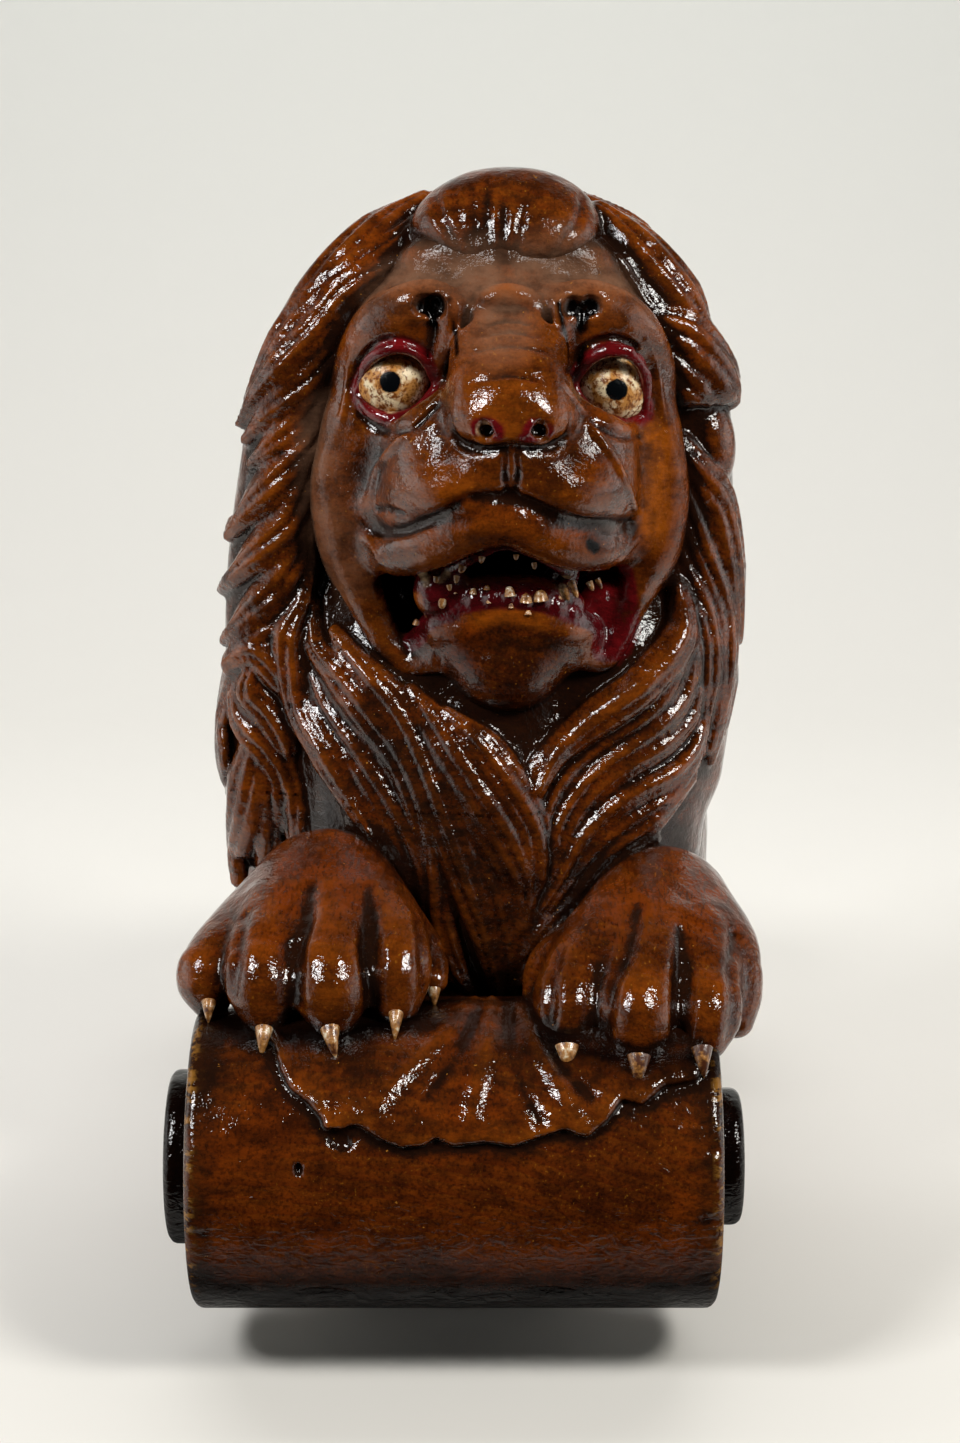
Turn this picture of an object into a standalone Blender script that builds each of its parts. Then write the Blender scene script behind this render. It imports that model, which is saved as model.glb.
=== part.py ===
"""Ship rudder carving: a varnished wooden lion lying with its fore paws on a scroll.

The whole work is one piece of wood: a scroll across the front, a narrow block behind it that everything stands
on, and the lion on top. The lion is modelled as a carver blocks it out, as rounded masses, and then its locks of
hair are laid over them. Forms of the lion are given in units of its own height, in its own frame: x to the right
from the scroll's middle, y back from the scroll's axis, and z up from the top of the scroll.
"""
import math

import bmesh
import bpy
from mathutils import Euler, Matrix, Vector
from mathutils.bvhtree import BVHTree

# Sizes in metres
SCROLL_RADIUS = 0.057
SCROLL_WIDTH = 0.197
SCROLL_LIFT = 0.020
SCROLL_ARRIS = 0.004
LEFT_BOSS_RADIUS = 0.033
RIGHT_BOSS_RADIUS = 0.026
BOSS_PROUD = 0.011
BOSS_ARRIS = 0.004
BLOCK_WIDTH = 0.096
BLOCK_LENGTH = 0.410
BLOCK_SETBACK = 0.045
LEDGE_WIDTH = 0.168
LEDGE_THICKNESS = 0.020
LEDGE_ARRIS = 0.005
LEDGE_SETBACK = 0.016
LEDGE_OVERHANG = 0.006
FIGURE_HEIGHT = 0.314
APRON_THICKNESS = 0.0035

# Places that follow from the sizes
SCROLL_AXIS_Z = SCROLL_LIFT + SCROLL_RADIUS
SCROLL_TOP = SCROLL_LIFT + 2 * SCROLL_RADIUS
MIDDLE_Y = BLOCK_SETBACK + BLOCK_LENGTH / 2
UNIT = FIGURE_HEIGHT / 314
LEDGE_TOP = SCROLL_TOP - 68 * UNIT
FACE_X = 19

FULLNESS = 0.51
WIDE_ROLL = 25
VOXEL = 3.0 * UNIT
MASS_VOXEL = 4.5 * UNIT
FIGURE_TRIANGLES = 6900
HOLLOW_TRIANGLES = 500
EYE_TRIANGLES = 700


def place(point):
    """A point of the figure's frame, in units of its height, as a place in metres."""
    x, y, z = point
    return Vector((x * UNIT, y * UNIT - MIDDLE_Y, z * UNIT + SCROLL_TOP))


def smooth_line(points, spacing=5.0):
    """A smooth curve through the points, with a point about every spacing units."""
    points = [Vector(p) for p in points]
    if len(points) == 2:
        steps = max(2, int((points[1] - points[0]).length / spacing))
        return [points[0].lerp(points[1], k / steps) for k in range(steps + 1)]
    ends = [2 * points[0] - points[1]] + points + [2 * points[-1] - points[-2]]
    line = []
    for a, b, c, d in zip(ends, ends[1:], ends[2:], ends[3:]):
        steps = max(2, int((c - b).length / spacing))
        for k in range(steps):
            t = k / steps
            line.append(0.5 * (2 * b + (c - a) * t + (2 * a - 5 * b + 4 * c - d) * t ** 2
                               + (3 * b - a - 3 * c + d) * t ** 3))
    line.append(points[-1])
    return line


def spread(values, count):
    """Values at the control points, read off evenly at count places along the line."""
    if not isinstance(values, (list, tuple)):
        return [values] * count
    out = []
    for k in range(count):
        at = k * (len(values) - 1) / (count - 1)
        low = min(int(at), len(values) - 2)
        out.append(values[low] + (values[low + 1] - values[low]) * (at - low))
    return out


def blob(bm, centre, size, turn=(0, 0, 0)):
    """An egg-shaped mass: half sizes along its own axes, turned by degrees about x, y and z."""
    angles = Euler([math.radians(a) for a in turn])
    scale = Matrix.Diagonal([s * UNIT for s in size] + [1])
    matrix = Matrix.Translation(place(centre)) @ angles.to_matrix().to_4x4() @ scale
    bmesh.ops.create_icosphere(bm, subdivisions=3, radius=1, matrix=matrix)


def tube(bm, centres, rings):
    """A closed tube through rings of points, given as offsets from the centres."""
    rows = [[bm.verts.new(c + offset) for offset in ring] for c, ring in zip(centres, rings)]
    sides = len(rows[0])
    for low, high in zip(rows, rows[1:]):
        for k in range(sides):
            bm.faces.new((low[k], low[(k + 1) % sides], high[(k + 1) % sides], high[k]))
    bm.faces.new(rows[0][::-1])
    bm.faces.new(rows[-1])


def roll(bm, points, radii):
    """A round form that swells and thins along a smooth line, with round ends."""
    sides = 12 if max(radii) < WIDE_ROLL else 32
    line = [place(p) for p in smooth_line(points)]
    radii = [r * UNIT for r in spread(radii, len(line))]
    rings = []
    for k, centre in enumerate(line):
        along = (line[min(k + 1, len(line) - 1)] - line[max(k - 1, 0)]).normalized()
        turn = along.to_track_quat("Z", "Y")
        rings.append([turn @ Vector((radii[k] * math.cos(a), radii[k] * math.sin(a), 0))
                      for a in (2 * math.pi * j / sides for j in range(sides))])
    tube(bm, line, rings)
    for end in (0, -1):
        bmesh.ops.create_icosphere(bm, subdivisions=3, radius=radii[end], matrix=Matrix.Translation(line[end]))


def lock(bm, points, normals, widths, heights, sides=10):
    """A lock of hair: a flattened tube that lies on the mass under it."""
    line = [place(p) for p in points]
    rings = []
    for k, centre in enumerate(line):
        along = (line[min(k + 1, len(line) - 1)] - line[max(k - 1, 0)]).normalized()
        out = (normals[k] - normals[k].dot(along) * along).normalized()
        across = along.cross(out)
        rings.append([across * (widths[k] * UNIT * math.cos(a)) + out * (heights[k] * UNIT * math.sin(a))
                      for a in (2 * math.pi * j / sides for j in range(sides))])
    tube(bm, line, rings)


def settle(tree, point):
    """Put a point on the mass, on the line that runs out to it from the core of the neck."""
    core = Vector((8 + 0.25 * (point[0] - 8), 140, min(max(point[2], -4), 211)))
    out = (Vector(point) - core).normalized()
    reach = 160
    hit = tree.ray_cast(place(core + out * reach), -out, reach * UNIT)[0]
    if hit is None:
        return Vector(point), out
    seat = Vector((hit.x / UNIT, (hit.y + MIDDLE_Y) / UNIT, (hit.z - SCROLL_TOP) / UNIT))
    return seat, out


def fan(bm, tree, first, last, count, height, wave=3.0, tip=0.25):
    """A group of locks that share out the space between two guide lines laid on the mass."""
    stations = 10
    guides = []
    for guide in (first, last):
        line = smooth_line(guide)
        at = [k * (len(line) - 1) / (stations - 1) for k in range(stations)]
        guides.append([line[int(a)].lerp(line[min(int(a) + 1, len(line) - 1)], a - int(a)) for a in at])
    for n in range(count):
        share = n / (count - 1)
        seats, outs, widths, heights = [], [], [], []
        for k, (a, b) in enumerate(zip(*guides)):
            s = k / (stations - 1)
            sway = wave * math.sin(2 * math.pi * (s + 0.31 * n)) * math.sin(math.pi * min(1, 1.5 * s + 0.1))
            seat, out = settle(tree, a.lerp(b, share) + (b - a).normalized() * sway)
            taper = min(1, 0.5 + 2 * s) * min(1, tip + 3.5 * (1 - tip) * (1 - s))
            width = max(FULLNESS * (b - a).length / (count - 1), 5) * taper
            seats.append(seat)
            outs.append(out)
            widths.append(width)
            heights.append(min(height, 0.95 * width) * (0.6 + 0.4 * taper))
        lock(bm, seats, outs, widths, heights)


def face(side, across, y, z):
    """A point of the face, given by its distance from the face's middle line."""
    return (FACE_X + side * across, y, z)


def mane_mass(bm):
    """Neck, ruff and chest under the hair."""
    blob(bm, (21, 142, 258), (62, 60, 46))
    blob(bm, (15, 150, 209), (82, 64, 74))
    blob(bm, (10, 146, 134), (84, 62, 90))
    blob(bm, (21, 114, 290), (33, 40, 19))
    roll(bm, [(-6, 118, 277), (-32, 114, 265), (-55, 114, 233), (-62, 116, 196), (-67, 116, 156), (-69, 116, 114),
              (-64, 116, 68)], [18, 20, 21, 21, 22, 22, 20])
    roll(bm, [(49, 118, 277), (72, 114, 262), (85, 114, 233), (88, 116, 196), (89, 116, 156), (90, 116, 114),
              (86, 118, 72)], [18, 18, 19, 19, 19, 19, 18])
    roll(bm, [(16, 118, 118), (13, 108, 65), (18, 104, 15)], [50, 50, 46])
    roll(bm, [(-23, 118, 114), (-26, 108, 48)], [44, 42])
    roll(bm, [(63, 118, 114), (59, 110, 44)], [44, 42])


def body_mass(bm):
    """Back, shoulders, fore legs, haunches, hind paws and the tail that curls round one side."""
    roll(bm, [(2, 165, 38), (0, 230, 24), (0, 320, 6), (0, 390, -12)], [74, 70, 62, 56])
    blob(bm, (0, 300, -42), (60, 130, 36))
    for side in (-1, 1):
        blob(bm, (side * 56, 366, -22), (34, 62, 60), (0, 0, side * 6))
        roll(bm, [(side * 62, 345, -50), (side * 76, 290, -58), (side * 78, 235, -56)], [24, 17, 17])
        roll(bm, [(side * 72 + 4, 150, -14), (side * 70 + 4, 90, 4), (side * 66 + 6, 34, 24)], [36, 32, 30])
        blob(bm, (side * 68 + 6, 165, 31), (34, 50, 62))
    roll(bm, [(0, 425, -14), (30, 446, -50), (76, 430, -58), (98, 375, -54), (98, 315, -38)], [13, 10, 9, 9, 14])


def rising_slope(bm):
    """The band of the scroll as it runs back and down from the scroll's top to the ledge, under the fore legs."""
    half = 0.5 * LEDGE_WIDTH
    line = [(0, -3), (40, -6), (80, -18), (120, -38), (160, -56), (205, -67)]
    floor = LEDGE_TOP - 0.8 * LEDGE_THICKNESS
    profile = [place((0, y, z)) for y, z in line]
    rings = []
    for x in (-half, half):
        ring = [bm.verts.new((x, p.y, p.z)) for p in profile]
        ring.append(bm.verts.new((x, profile[-1].y, floor)))
        ring.append(bm.verts.new((x, profile[0].y, floor)))
        rings.append(ring)
    low, high = rings
    for k in range(len(low)):
        bm.faces.new((low[k], low[(k + 1) % len(low)], high[(k + 1) % len(low)], high[k]))
    bm.faces.new(low[::-1])
    bm.faces.new(high)


def skull(bm):
    """Brow, cheeks, muzzle, nose, lips and chin."""
    blob(bm, (18, 114, 201), (62, 52, 84))
    blob(bm, (19, 112, 254), (56, 52, 42))
    blob(bm, (20, 74, 192), (50, 50, 27))
    roll(bm, [(20, 72, 267), (20, 62, 249), (21, 42, 229)], [14, 19, 22])
    blob(bm, (21, 27, 225), (23, 17, 15))
    blob(bm, (21, 42, 197), (24, 18, 14))
    for side in (-1, 1):
        roll(bm, [face(side, 59, 92, 211), face(side, 62, 95, 175), face(side, 54, 98, 130)], [14, 14, 13])
        blob(bm, face(side, 42, 90, 234), (22, 18, 22))
        blob(bm, face(side, 16, 30, 222), (9, 13, 13))
        blob(bm, face(side, 28, 52, 203), (29, 26, 19), (0, -22 * side, 0))
        blob(bm, face(side, 34, 56, 188), (22, 22, 13))
        roll(bm, [face(side, 45, 82, 208), face(side, 54, 86, 184), face(side, 56, 88, 160), face(side, 49, 88, 136),
                  face(side, 40, 86, 120)], [8, 6, 6, 5, 4])
        roll(bm, [face(side, 20, 66, 246), face(side, 22, 64, 259), face(side, 32, 65, 266), face(side, 44, 70, 262),
                  face(side, 56, 78, 251), face(side, 64, 90, 229)], [6, 9, 10, 10, 9, 8])
    roll(bm, [(7, 60, 260), (19, 54, 265), (35, 60, 261)], [5, 6, 5])
    roll(bm, [face(-1, 47, 76, 165), face(-1, 37, 58, 168), face(-1, 17, 46, 175), face(1, 3, 40, 178),
              face(1, 21, 46, 176), face(1, 39, 58, 168), face(1, 51, 76, 165)], [9, 11, 9, 7, 9, 11, 9])
    blob(bm, (20, 66, 126), (33, 28, 22))
    blob(bm, (18, 78, 105), (22, 26, 16))
    roll(bm, [face(-1, 38, 82, 123), face(-1, 26, 66, 134), face(-1, 2, 54, 144), face(1, 22, 62, 137),
              face(1, 41, 80, 123)], [6, 7, 7, 7, 6])


def eyes(bm):
    """The eyeballs and the lids round them."""
    for side in (-1, 1):
        blob(bm, face(side, 42, 72, 230), (14, 14, 13))
        for lid in (1, -1):
            roll(bm, [face(side, 24, 68, 231), face(side, 31, 61, 230 + 10 * lid), face(side, 41, 59, 230 + 14 * lid),
                      face(side, 52, 62, 229 + 10 * lid), face(side, 62, 74, 226)], [2.5, 3.5, 4, 3.5, 3])


def mouth_and_sockets(bm):
    """The hollows: eye sockets, the open mouth, the nostrils and the notches at the inner ends of the brows."""
    roll(bm, [face(-1, 40, 68, 146), face(-1, 26, 56, 151), face(1, 1, 50, 158), face(1, 24, 56, 151),
              face(1, 38, 68, 146)], [9, 6, 6, 6, 9])
    blob(bm, (20, 52, 161), (17, 26, 8))
    for side in (-1, 1):
        blob(bm, face(side, 42, 62, 230), (18, 17, 16))
        blob(bm, face(side, 40, 78, 141), (10, 18, 14))
        blob(bm, face(side, 10, 12, 219.5), (4.5, 8, 4))
        blob(bm, face(side, 29, 54, 261), (6, 9, 5))


def paws(bm):
    """The two fore paws on the scroll, a broad back and four toes each, with a small inner toe on the left one."""
    blob(bm, (-55, 26, 27), (43, 30, 33), (-38, 0, 0))
    blob(bm, (-47, 38, 45), (31, 34, 27), (-20, 0, 0))
    blob(bm, (76, 26, 21), (41, 30, 33), (-38, 0, 0))
    blob(bm, (83, 38, 37), (30, 34, 27), (-20, 0, 0))
    toes = [([(-88, 22, 26), (-95, 0, 16), (-93, -14, 5)], 12), ([(-71, 4, 32), (-76, -10, 18), (-73, -22, 3)], 14),
            ([(-49, 0, 33), (-49, -12, 19), (-47, -24, 4)], 15), ([(-28, 6, 33), (-24, -8, 20), (-22, -20, 8)], 14),
            ([(-15, 24, 24), (-10, 8, 17), (-8, -2, 7)], 8),
            ([(57, 16, 22), (44, -6, 9), (41, -22, -4)], 14), ([(74, 2, 26), (70, -12, 10), (69, -26, -5)], 15),
            ([(93, 4, 28), (94, -10, 12), (92, -24, -5)], 14.5), ([(106, 22, 22), (110, 4, 12), (108, -12, -1)], 11.5)]
    for line, radius in toes:
        roll(bm, line, [0.85 * radius, radius, 0.76 * radius])


def hair(bm, tree):
    """Locks over the mane: forelock, both sides of the ruff, shoulders, chest and nape."""
    fan(bm, tree, [(-8, 125, 304), (-11, 90, 295), (-4, 74, 284), (11, 66, 274)],
        [(53, 125, 302), (55, 90, 290), (37, 74, 281), (16, 66, 274)], 6, 8, wave=0, tip=0.5)
    # Left of the face, from the parting down to the shoulder
    fan(bm, tree, [(-10, 112, 295), (-28, 106, 281), (-50, 100, 254), (-72, 112, 221)],
        [(-4, 92, 274), (-23, 84, 256), (-38, 84, 224), (-52, 94, 195), (-79, 112, 165)], 4, 10)
    fan(bm, tree, [(-46, 90, 215), (-56, 92, 195), (-72, 100, 170), (-87, 116, 140)],
        [(-48, 92, 175), (-54, 90, 147), (-65, 92, 122), (-86, 112, 92)], 3, 10)
    fan(bm, tree, [(-74, 106, 137), (-80, 102, 117), (-84, 108, 95), (-86, 118, 63)],
        [(-52, 88, 144), (-54, 88, 111), (-54, 86, 79), (-62, 92, 40)], 4, 10)
    # Right of the face
    fan(bm, tree, [(54, 112, 289), (72, 106, 274), (88, 100, 250), (104, 116, 216)],
        [(53, 92, 274), (69, 84, 253), (80, 84, 228), (90, 92, 207), (101, 112, 180)], 3, 10)
    fan(bm, tree, [(84, 88, 223), (92, 96, 191), (101, 104, 157), (106, 116, 118)],
        [(86, 92, 191), (85, 90, 156), (90, 92, 119), (99, 112, 69)], 3, 10)
    # Chest
    fan(bm, tree, [(-50, 88, 160), (-44, 84, 120), (-51, 84, 79), (-42, 80, 39)],
        [(-42, 88, 144), (-24, 72, 106), (-6, 60, 73), (-2, 58, 8)], 4, 15)
    fan(bm, tree, [(-34, 84, 128), (-10, 64, 92), (2, 58, 49), (17, 60, 1)],
        [(-2, 66, 108), (17, 56, 82), (27, 56, 49), (29, 60, 3)], 3, 15)
    fan(bm, tree, [(79, 88, 140), (59, 66, 108), (38, 58, 81), (30, 58, 36)],
        [(102, 108, 116), (86, 84, 67), (56, 66, 38), (33, 60, 1)], 5, 15)
    # Nape and sides of the neck, plainer
    fan(bm, tree, [(-4, 135, 306), (-40, 150, 285), (-62, 160, 230), (-74, 150, 180)],
        [(10, 150, 308), (-10, 195, 270), (-26, 212, 215), (-44, 206, 160)], 4, 10)
    fan(bm, tree, [(46, 135, 306), (80, 150, 280), (96, 160, 230), (100, 150, 180)],
        [(32, 150, 308), (50, 195, 270), (62, 210, 215), (74, 204, 160)], 4, 10)
    fan(bm, tree, [(-86, 120, 170), (-84, 150, 130), (-82, 170, 90)],
        [(8, 205, 200), (0, 214, 150), (-4, 212, 96)], 5, 10)
    fan(bm, tree, [(106, 120, 170), (102, 150, 130), (94, 170, 90)],
        [(24, 205, 200), (22, 214, 150), (22, 212, 96)], 5, 10)


def apron(bm):
    """The thin drape on the scroll under the paws: a closed slab that follows the scroll, with a waved hem."""
    reach = 80 * UNIT
    middle = 8 * UNIT
    columns, rows = 40, 10
    outer, inner = [], []
    for i in range(columns + 1):
        s = 2 * i / columns - 1
        x = middle + s * reach
        hem = 26 + 46 * abs(s) ** 2.2 + 2.5 * math.sin(11 * s)
        top = 105
        out_row, in_row = [], []
        for j in range(rows + 1):
            t = j / rows
            angle = math.radians(hem + (top - hem) * t)
            fold = 0.35 * APRON_THICKNESS * math.sin(x / (7 * UNIT)) * (1 - t)
            lift = APRON_THICKNESS * (1 + 0.6 * math.exp(-(t * 8) ** 2)) + fold
            for row, radius in ((out_row, SCROLL_RADIUS + lift), (in_row, SCROLL_RADIUS - 2 * APRON_THICKNESS)):
                row.append(Vector((x, -MIDDLE_Y - radius * math.cos(angle), SCROLL_AXIS_Z + radius * math.sin(angle))))
        outer.append([bm.verts.new(p) for p in out_row])
        inner.append([bm.verts.new(p) for p in in_row])
    rings = [out_row + in_row[::-1] for out_row, in_row in zip(outer, inner)]
    for low, high in zip(rings, rings[1:]):
        for k in range(len(low)):
            bm.faces.new((low[k], low[(k + 1) % len(low)], high[(k + 1) % len(low)], high[k]))
    bm.faces.new(rings[0][::-1])
    bm.faces.new(rings[-1])


def as_object(name, bm):
    """Make an object of the mesh under construction, with its faces turned outwards."""
    bmesh.ops.recalc_face_normals(bm, faces=bm.faces)
    mesh = bpy.data.meshes.new(name)
    bm.to_mesh(mesh)
    bm.free()
    obj = bpy.data.objects.new(name, mesh)
    bpy.context.scene.collection.objects.link(obj)
    return obj


def fuse(obj, voxel, smoothing):
    """Fuse overlapping forms into one skin and soften the meeting lines."""
    remesh = obj.modifiers.new("fuse", "REMESH")
    remesh.mode = "VOXEL"
    remesh.voxel_size = voxel
    if smoothing:
        soften = obj.modifiers.new("soften", "SMOOTH")
        soften.factor = 0.5
        soften.iterations = smoothing
    return baked(obj)


def baked(obj):
    """Replace the object's mesh by the result of its modifiers."""
    graph = bpy.context.evaluated_depsgraph_get()
    mesh = bpy.data.meshes.new_from_object(obj.evaluated_get(graph))
    obj.modifiers.clear()
    obj.data = mesh
    return obj


def thin_out(obj, triangles):
    """Bring a dense skin down to a number of triangles, keeping them where the form turns."""
    obj.data.calc_loop_triangles()
    decimate = obj.modifiers.new("thin_out", "DECIMATE")
    decimate.ratio = triangles / len(obj.data.loop_triangles)
    decimate.use_collapse_triangulate = True
    return baked(obj)


def guide(obj):
    """A form that only serves to join or cut."""
    obj.hide_render = True
    obj.display_type = "WIRE"
    return obj


def disc(name, radius, depth, arris, x, z, segments):
    """A round slab across the carving, with its arrises rounded over."""
    bm = bmesh.new()
    matrix = Matrix.Translation((x, -MIDDLE_Y, z)) @ Matrix.Rotation(math.pi / 2, 4, "Y")
    bmesh.ops.create_cone(bm, cap_ends=True, segments=segments, radius1=radius, radius2=radius, depth=depth,
                          matrix=matrix)
    rims = [e for e in bm.edges if abs(e.verts[0].co.x - e.verts[1].co.x) < 1e-6]
    bmesh.ops.bevel(bm, geom=rims, offset=arris, segments=1, profile=0.5, affect="EDGES")
    return guide(as_object(name, bm))


def slab(name, width, front, back, low, high, arris):
    """A square block, with its arrises taken off where an arris is given."""
    bm = bmesh.new()
    size = Matrix.Diagonal((width, back - front, high - low, 1))
    matrix = Matrix.Translation((0, (front + back) / 2, (low + high) / 2)) @ size
    bmesh.ops.create_cube(bm, size=1, matrix=matrix)
    if arris:
        bmesh.ops.bevel(bm, geom=bm.edges[:], offset=arris, segments=2, profile=0.5, affect="EDGES")
    return guide(as_object(name, bm))


def combine(obj, other, operation):
    """Join another form to the object, or cut it away."""
    boolean = obj.modifiers.new(operation.lower() + "_" + other.name, "BOOLEAN")
    boolean.operation = operation
    boolean.solver = "EXACT"
    boolean.object = other


def varnished_wood():
    """Dark orange-brown wood under thick glossy varnish."""
    material = bpy.data.materials.new("varnished_wood")
    material.use_nodes = True
    shader = material.node_tree.nodes["Principled BSDF"]
    shader.inputs["Base Color"].default_value = (0.16, 0.045, 0.01, 1)
    shader.inputs["Roughness"].default_value = 0.28
    shader.inputs["Metallic"].default_value = 0.0
    return material


def carve_lion():
    """The whole carving as one solid."""
    bm = bmesh.new()
    mane_mass(bm)
    mane = fuse(as_object("mane_mass", bm), MASS_VOXEL, 6)
    tree = BVHTree.FromObject(mane, bpy.context.evaluated_depsgraph_get())

    bm = bmesh.new()
    body_mass(bm)
    rising_slope(bm)
    skull(bm)
    body = fuse(as_object("body_mass", bm), MASS_VOXEL * 0.7, 3)

    bm = bmesh.new()
    bm.from_mesh(mane.data)
    bm.from_mesh(body.data)
    hair(bm, tree)
    paws(bm)
    apron(bm)
    lion = as_object("lion_carving", bm)
    fuse(lion, VOXEL, 1)
    thin_out(lion, FIGURE_TRIANGLES)

    bm = bmesh.new()
    mouth_and_sockets(bm)
    hollows = guide(thin_out(fuse(as_object("hollows", bm), VOXEL * 0.6, 1), HOLLOW_TRIANGLES))

    bm = bmesh.new()
    eyes(bm)
    eyes_and_lids = guide(thin_out(fuse(as_object("eyes_and_lids", bm), VOXEL * 0.4, 1), EYE_TRIANGLES))

    half = SCROLL_WIDTH / 2
    scroll = disc("scroll", SCROLL_RADIUS, SCROLL_WIDTH, SCROLL_ARRIS, 0, SCROLL_AXIS_Z, 72)
    bosses = []
    for name, side, radius in (("left_boss", -1, LEFT_BOSS_RADIUS), ("right_boss", 1, RIGHT_BOSS_RADIUS)):
        depth = 2 * BOSS_PROUD
        bosses.append(disc(name, radius, depth, BOSS_ARRIS, side * half, SCROLL_AXIS_Z, 32))
    front = BLOCK_SETBACK - MIDDLE_Y
    back = front + BLOCK_LENGTH
    block = slab("block", BLOCK_WIDTH, front, back, 0, LEDGE_TOP - LEDGE_THICKNESS / 2, 0)
    ledge = slab("ledge", LEDGE_WIDTH, front + LEDGE_SETBACK, back + LEDGE_OVERHANG, LEDGE_TOP - LEDGE_THICKNESS,
                 LEDGE_TOP, LEDGE_ARRIS)

    for part in (scroll, *bosses, ledge, block):
        combine(lion, part, "UNION")
    combine(lion, hollows, "DIFFERENCE")
    combine(lion, eyes_and_lids, "UNION")
    lion.data.materials.clear()
    lion.data.materials.append(varnished_wood())
    lion.data.shade_smooth()
    for helper in (mane, body):
        bpy.data.objects.remove(helper)
    return lion


for leftover in list(bpy.data.objects):
    bpy.data.objects.remove(leftover)
carve_lion()
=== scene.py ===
import math

import bmesh
import bpy
import numpy as np
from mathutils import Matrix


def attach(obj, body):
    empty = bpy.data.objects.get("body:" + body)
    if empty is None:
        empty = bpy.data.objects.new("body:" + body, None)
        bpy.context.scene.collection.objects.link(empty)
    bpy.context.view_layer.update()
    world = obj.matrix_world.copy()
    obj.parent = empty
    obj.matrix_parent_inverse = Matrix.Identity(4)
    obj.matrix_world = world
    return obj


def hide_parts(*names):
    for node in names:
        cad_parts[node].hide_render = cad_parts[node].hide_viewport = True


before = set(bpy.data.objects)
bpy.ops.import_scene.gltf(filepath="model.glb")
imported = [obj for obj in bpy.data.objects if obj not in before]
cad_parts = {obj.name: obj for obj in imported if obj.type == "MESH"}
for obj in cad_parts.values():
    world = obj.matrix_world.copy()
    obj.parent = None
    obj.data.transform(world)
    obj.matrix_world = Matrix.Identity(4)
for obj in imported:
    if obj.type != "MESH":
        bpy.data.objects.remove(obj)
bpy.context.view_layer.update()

# The picture: the lion is seen from the front and a little above, at the distance a studio camera stands,
# on a pale sheet, with two small soft lamps in front at its sides and a long one over and behind it. Places
# on the carving that the picture shows are found along the camera's line of sight, from picture point and
# depth. Lengths are in mm here, but for lamps, camera and sheet.
PICTURE = (960, 1443)
EYE = np.array([9.5, -1007.0, 461.0])
LOOK_DOWN = math.radians(12)
LENS = 69.4
FILM = 36.0
MIDDLE_BACK = 250.0


def seen(u, v, depth):
    """The place, in mm, that the camera sees at picture point u, v, at a depth behind the scroll's axis."""
    spread = LENS / FILM * PICTURE[1]
    forward = np.array([0, math.cos(LOOK_DOWN), -math.sin(LOOK_DOWN)])
    upward = np.array([0, math.sin(LOOK_DOWN), math.cos(LOOK_DOWN)])
    sideways = np.array([1.0, 0, 0])
    ray = forward + sideways * (u - PICTURE[0] / 2) / spread + upward * (PICTURE[1] / 2 - v) / spread
    return EYE + ray * (depth - EYE[1]) / ray[1]


def line_seen(*places):
    return np.array([seen(*place) for place in places])


camera = bpy.data.cameras.new("studio_camera")
camera.lens = LENS
camera.sensor_width = FILM
camera.clip_end = 20
camera_stand = bpy.data.objects.new("studio_camera", camera)
camera_stand.location = (EYE[0] / 1000, (EYE[1] - MIDDLE_BACK) / 1000, EYE[2] / 1000)
camera_stand.rotation_euler = (math.pi / 2 - LOOK_DOWN, 0, 0)
bpy.context.scene.collection.objects.link(camera_stand)
bpy.context.scene.camera = camera_stand


def linear(hex_colour):
    """An sRGB hex colour as linear red, green, blue and alpha."""
    parts = [int(hex_colour[k:k + 2], 16) / 255 for k in (1, 3, 5)]
    return tuple(p / 12.92 if p <= 0.04045 else ((p + 0.055) / 1.055) ** 2.4 for p in parts) + (1.0,)


def add(tree, kind, settings=None, **inputs):
    """Add a node with its settings, and fill its inputs with values or with other nodes' outputs."""
    node = tree.nodes.new(kind)
    for name, value in (settings or {}).items():
        setattr(node, name, value)
    for name, value in inputs.items():
        key = int(name[1:]) if name[0] == "i" and name[1:].isdigit() else name.replace("_", " ")
        socket = node.inputs[key]
        if isinstance(value, bpy.types.NodeSocket):
            tree.links.new(value, socket)
        else:
            socket.default_value = value
    return node


def new_material(name):
    """A material, its empty node tree, and the place of each point on the object."""
    material = bpy.data.materials.new(name)
    material.use_nodes = True
    tree = material.node_tree
    tree.nodes.clear()
    return material, tree, add(tree, "ShaderNodeTexCoord").outputs["Object"]


def mixed(tree, factor, a, b):
    """Mix two colours."""
    settings = {"data_type": "RGBA", "clamp_factor": True}
    return add(tree, "ShaderNodeMix", settings, i0=factor, i6=a, i7=b).outputs[2]


def sums(tree, operation, a, b, clamp=False):
    """Work out a number from two others."""
    return add(tree, "ShaderNodeMath", {"operation": operation, "use_clamp": clamp}, i0=a, i1=b).outputs[0]


def ramp(tree, value, low, high, to_low=0.0, to_high=1.0):
    """Stretch a range of a number to another range, with its ends held."""
    return add(tree, "ShaderNodeMapRange", {"clamp": True}, Value=value, From_Min=low, From_Max=high,
               To_Min=to_low, To_Max=to_high).outputs[0]


def times(tree, value, *factors):
    """Multiply a number by others, one after another."""
    for factor in factors:
        value = sums(tree, "MULTIPLY", value, factor)
    return value


def noise(tree, place, scale, detail=2.0, **more):
    """Soft noise over a place."""
    return add(tree, "ShaderNodeTexNoise", Vector=place, Scale=scale, Detail=detail, **more).outputs["Fac"]


def part_of(tree, place, axis):
    """One co-ordinate of a place."""
    return add(tree, "ShaderNodeSeparateXYZ", Vector=place).outputs[axis]


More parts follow.
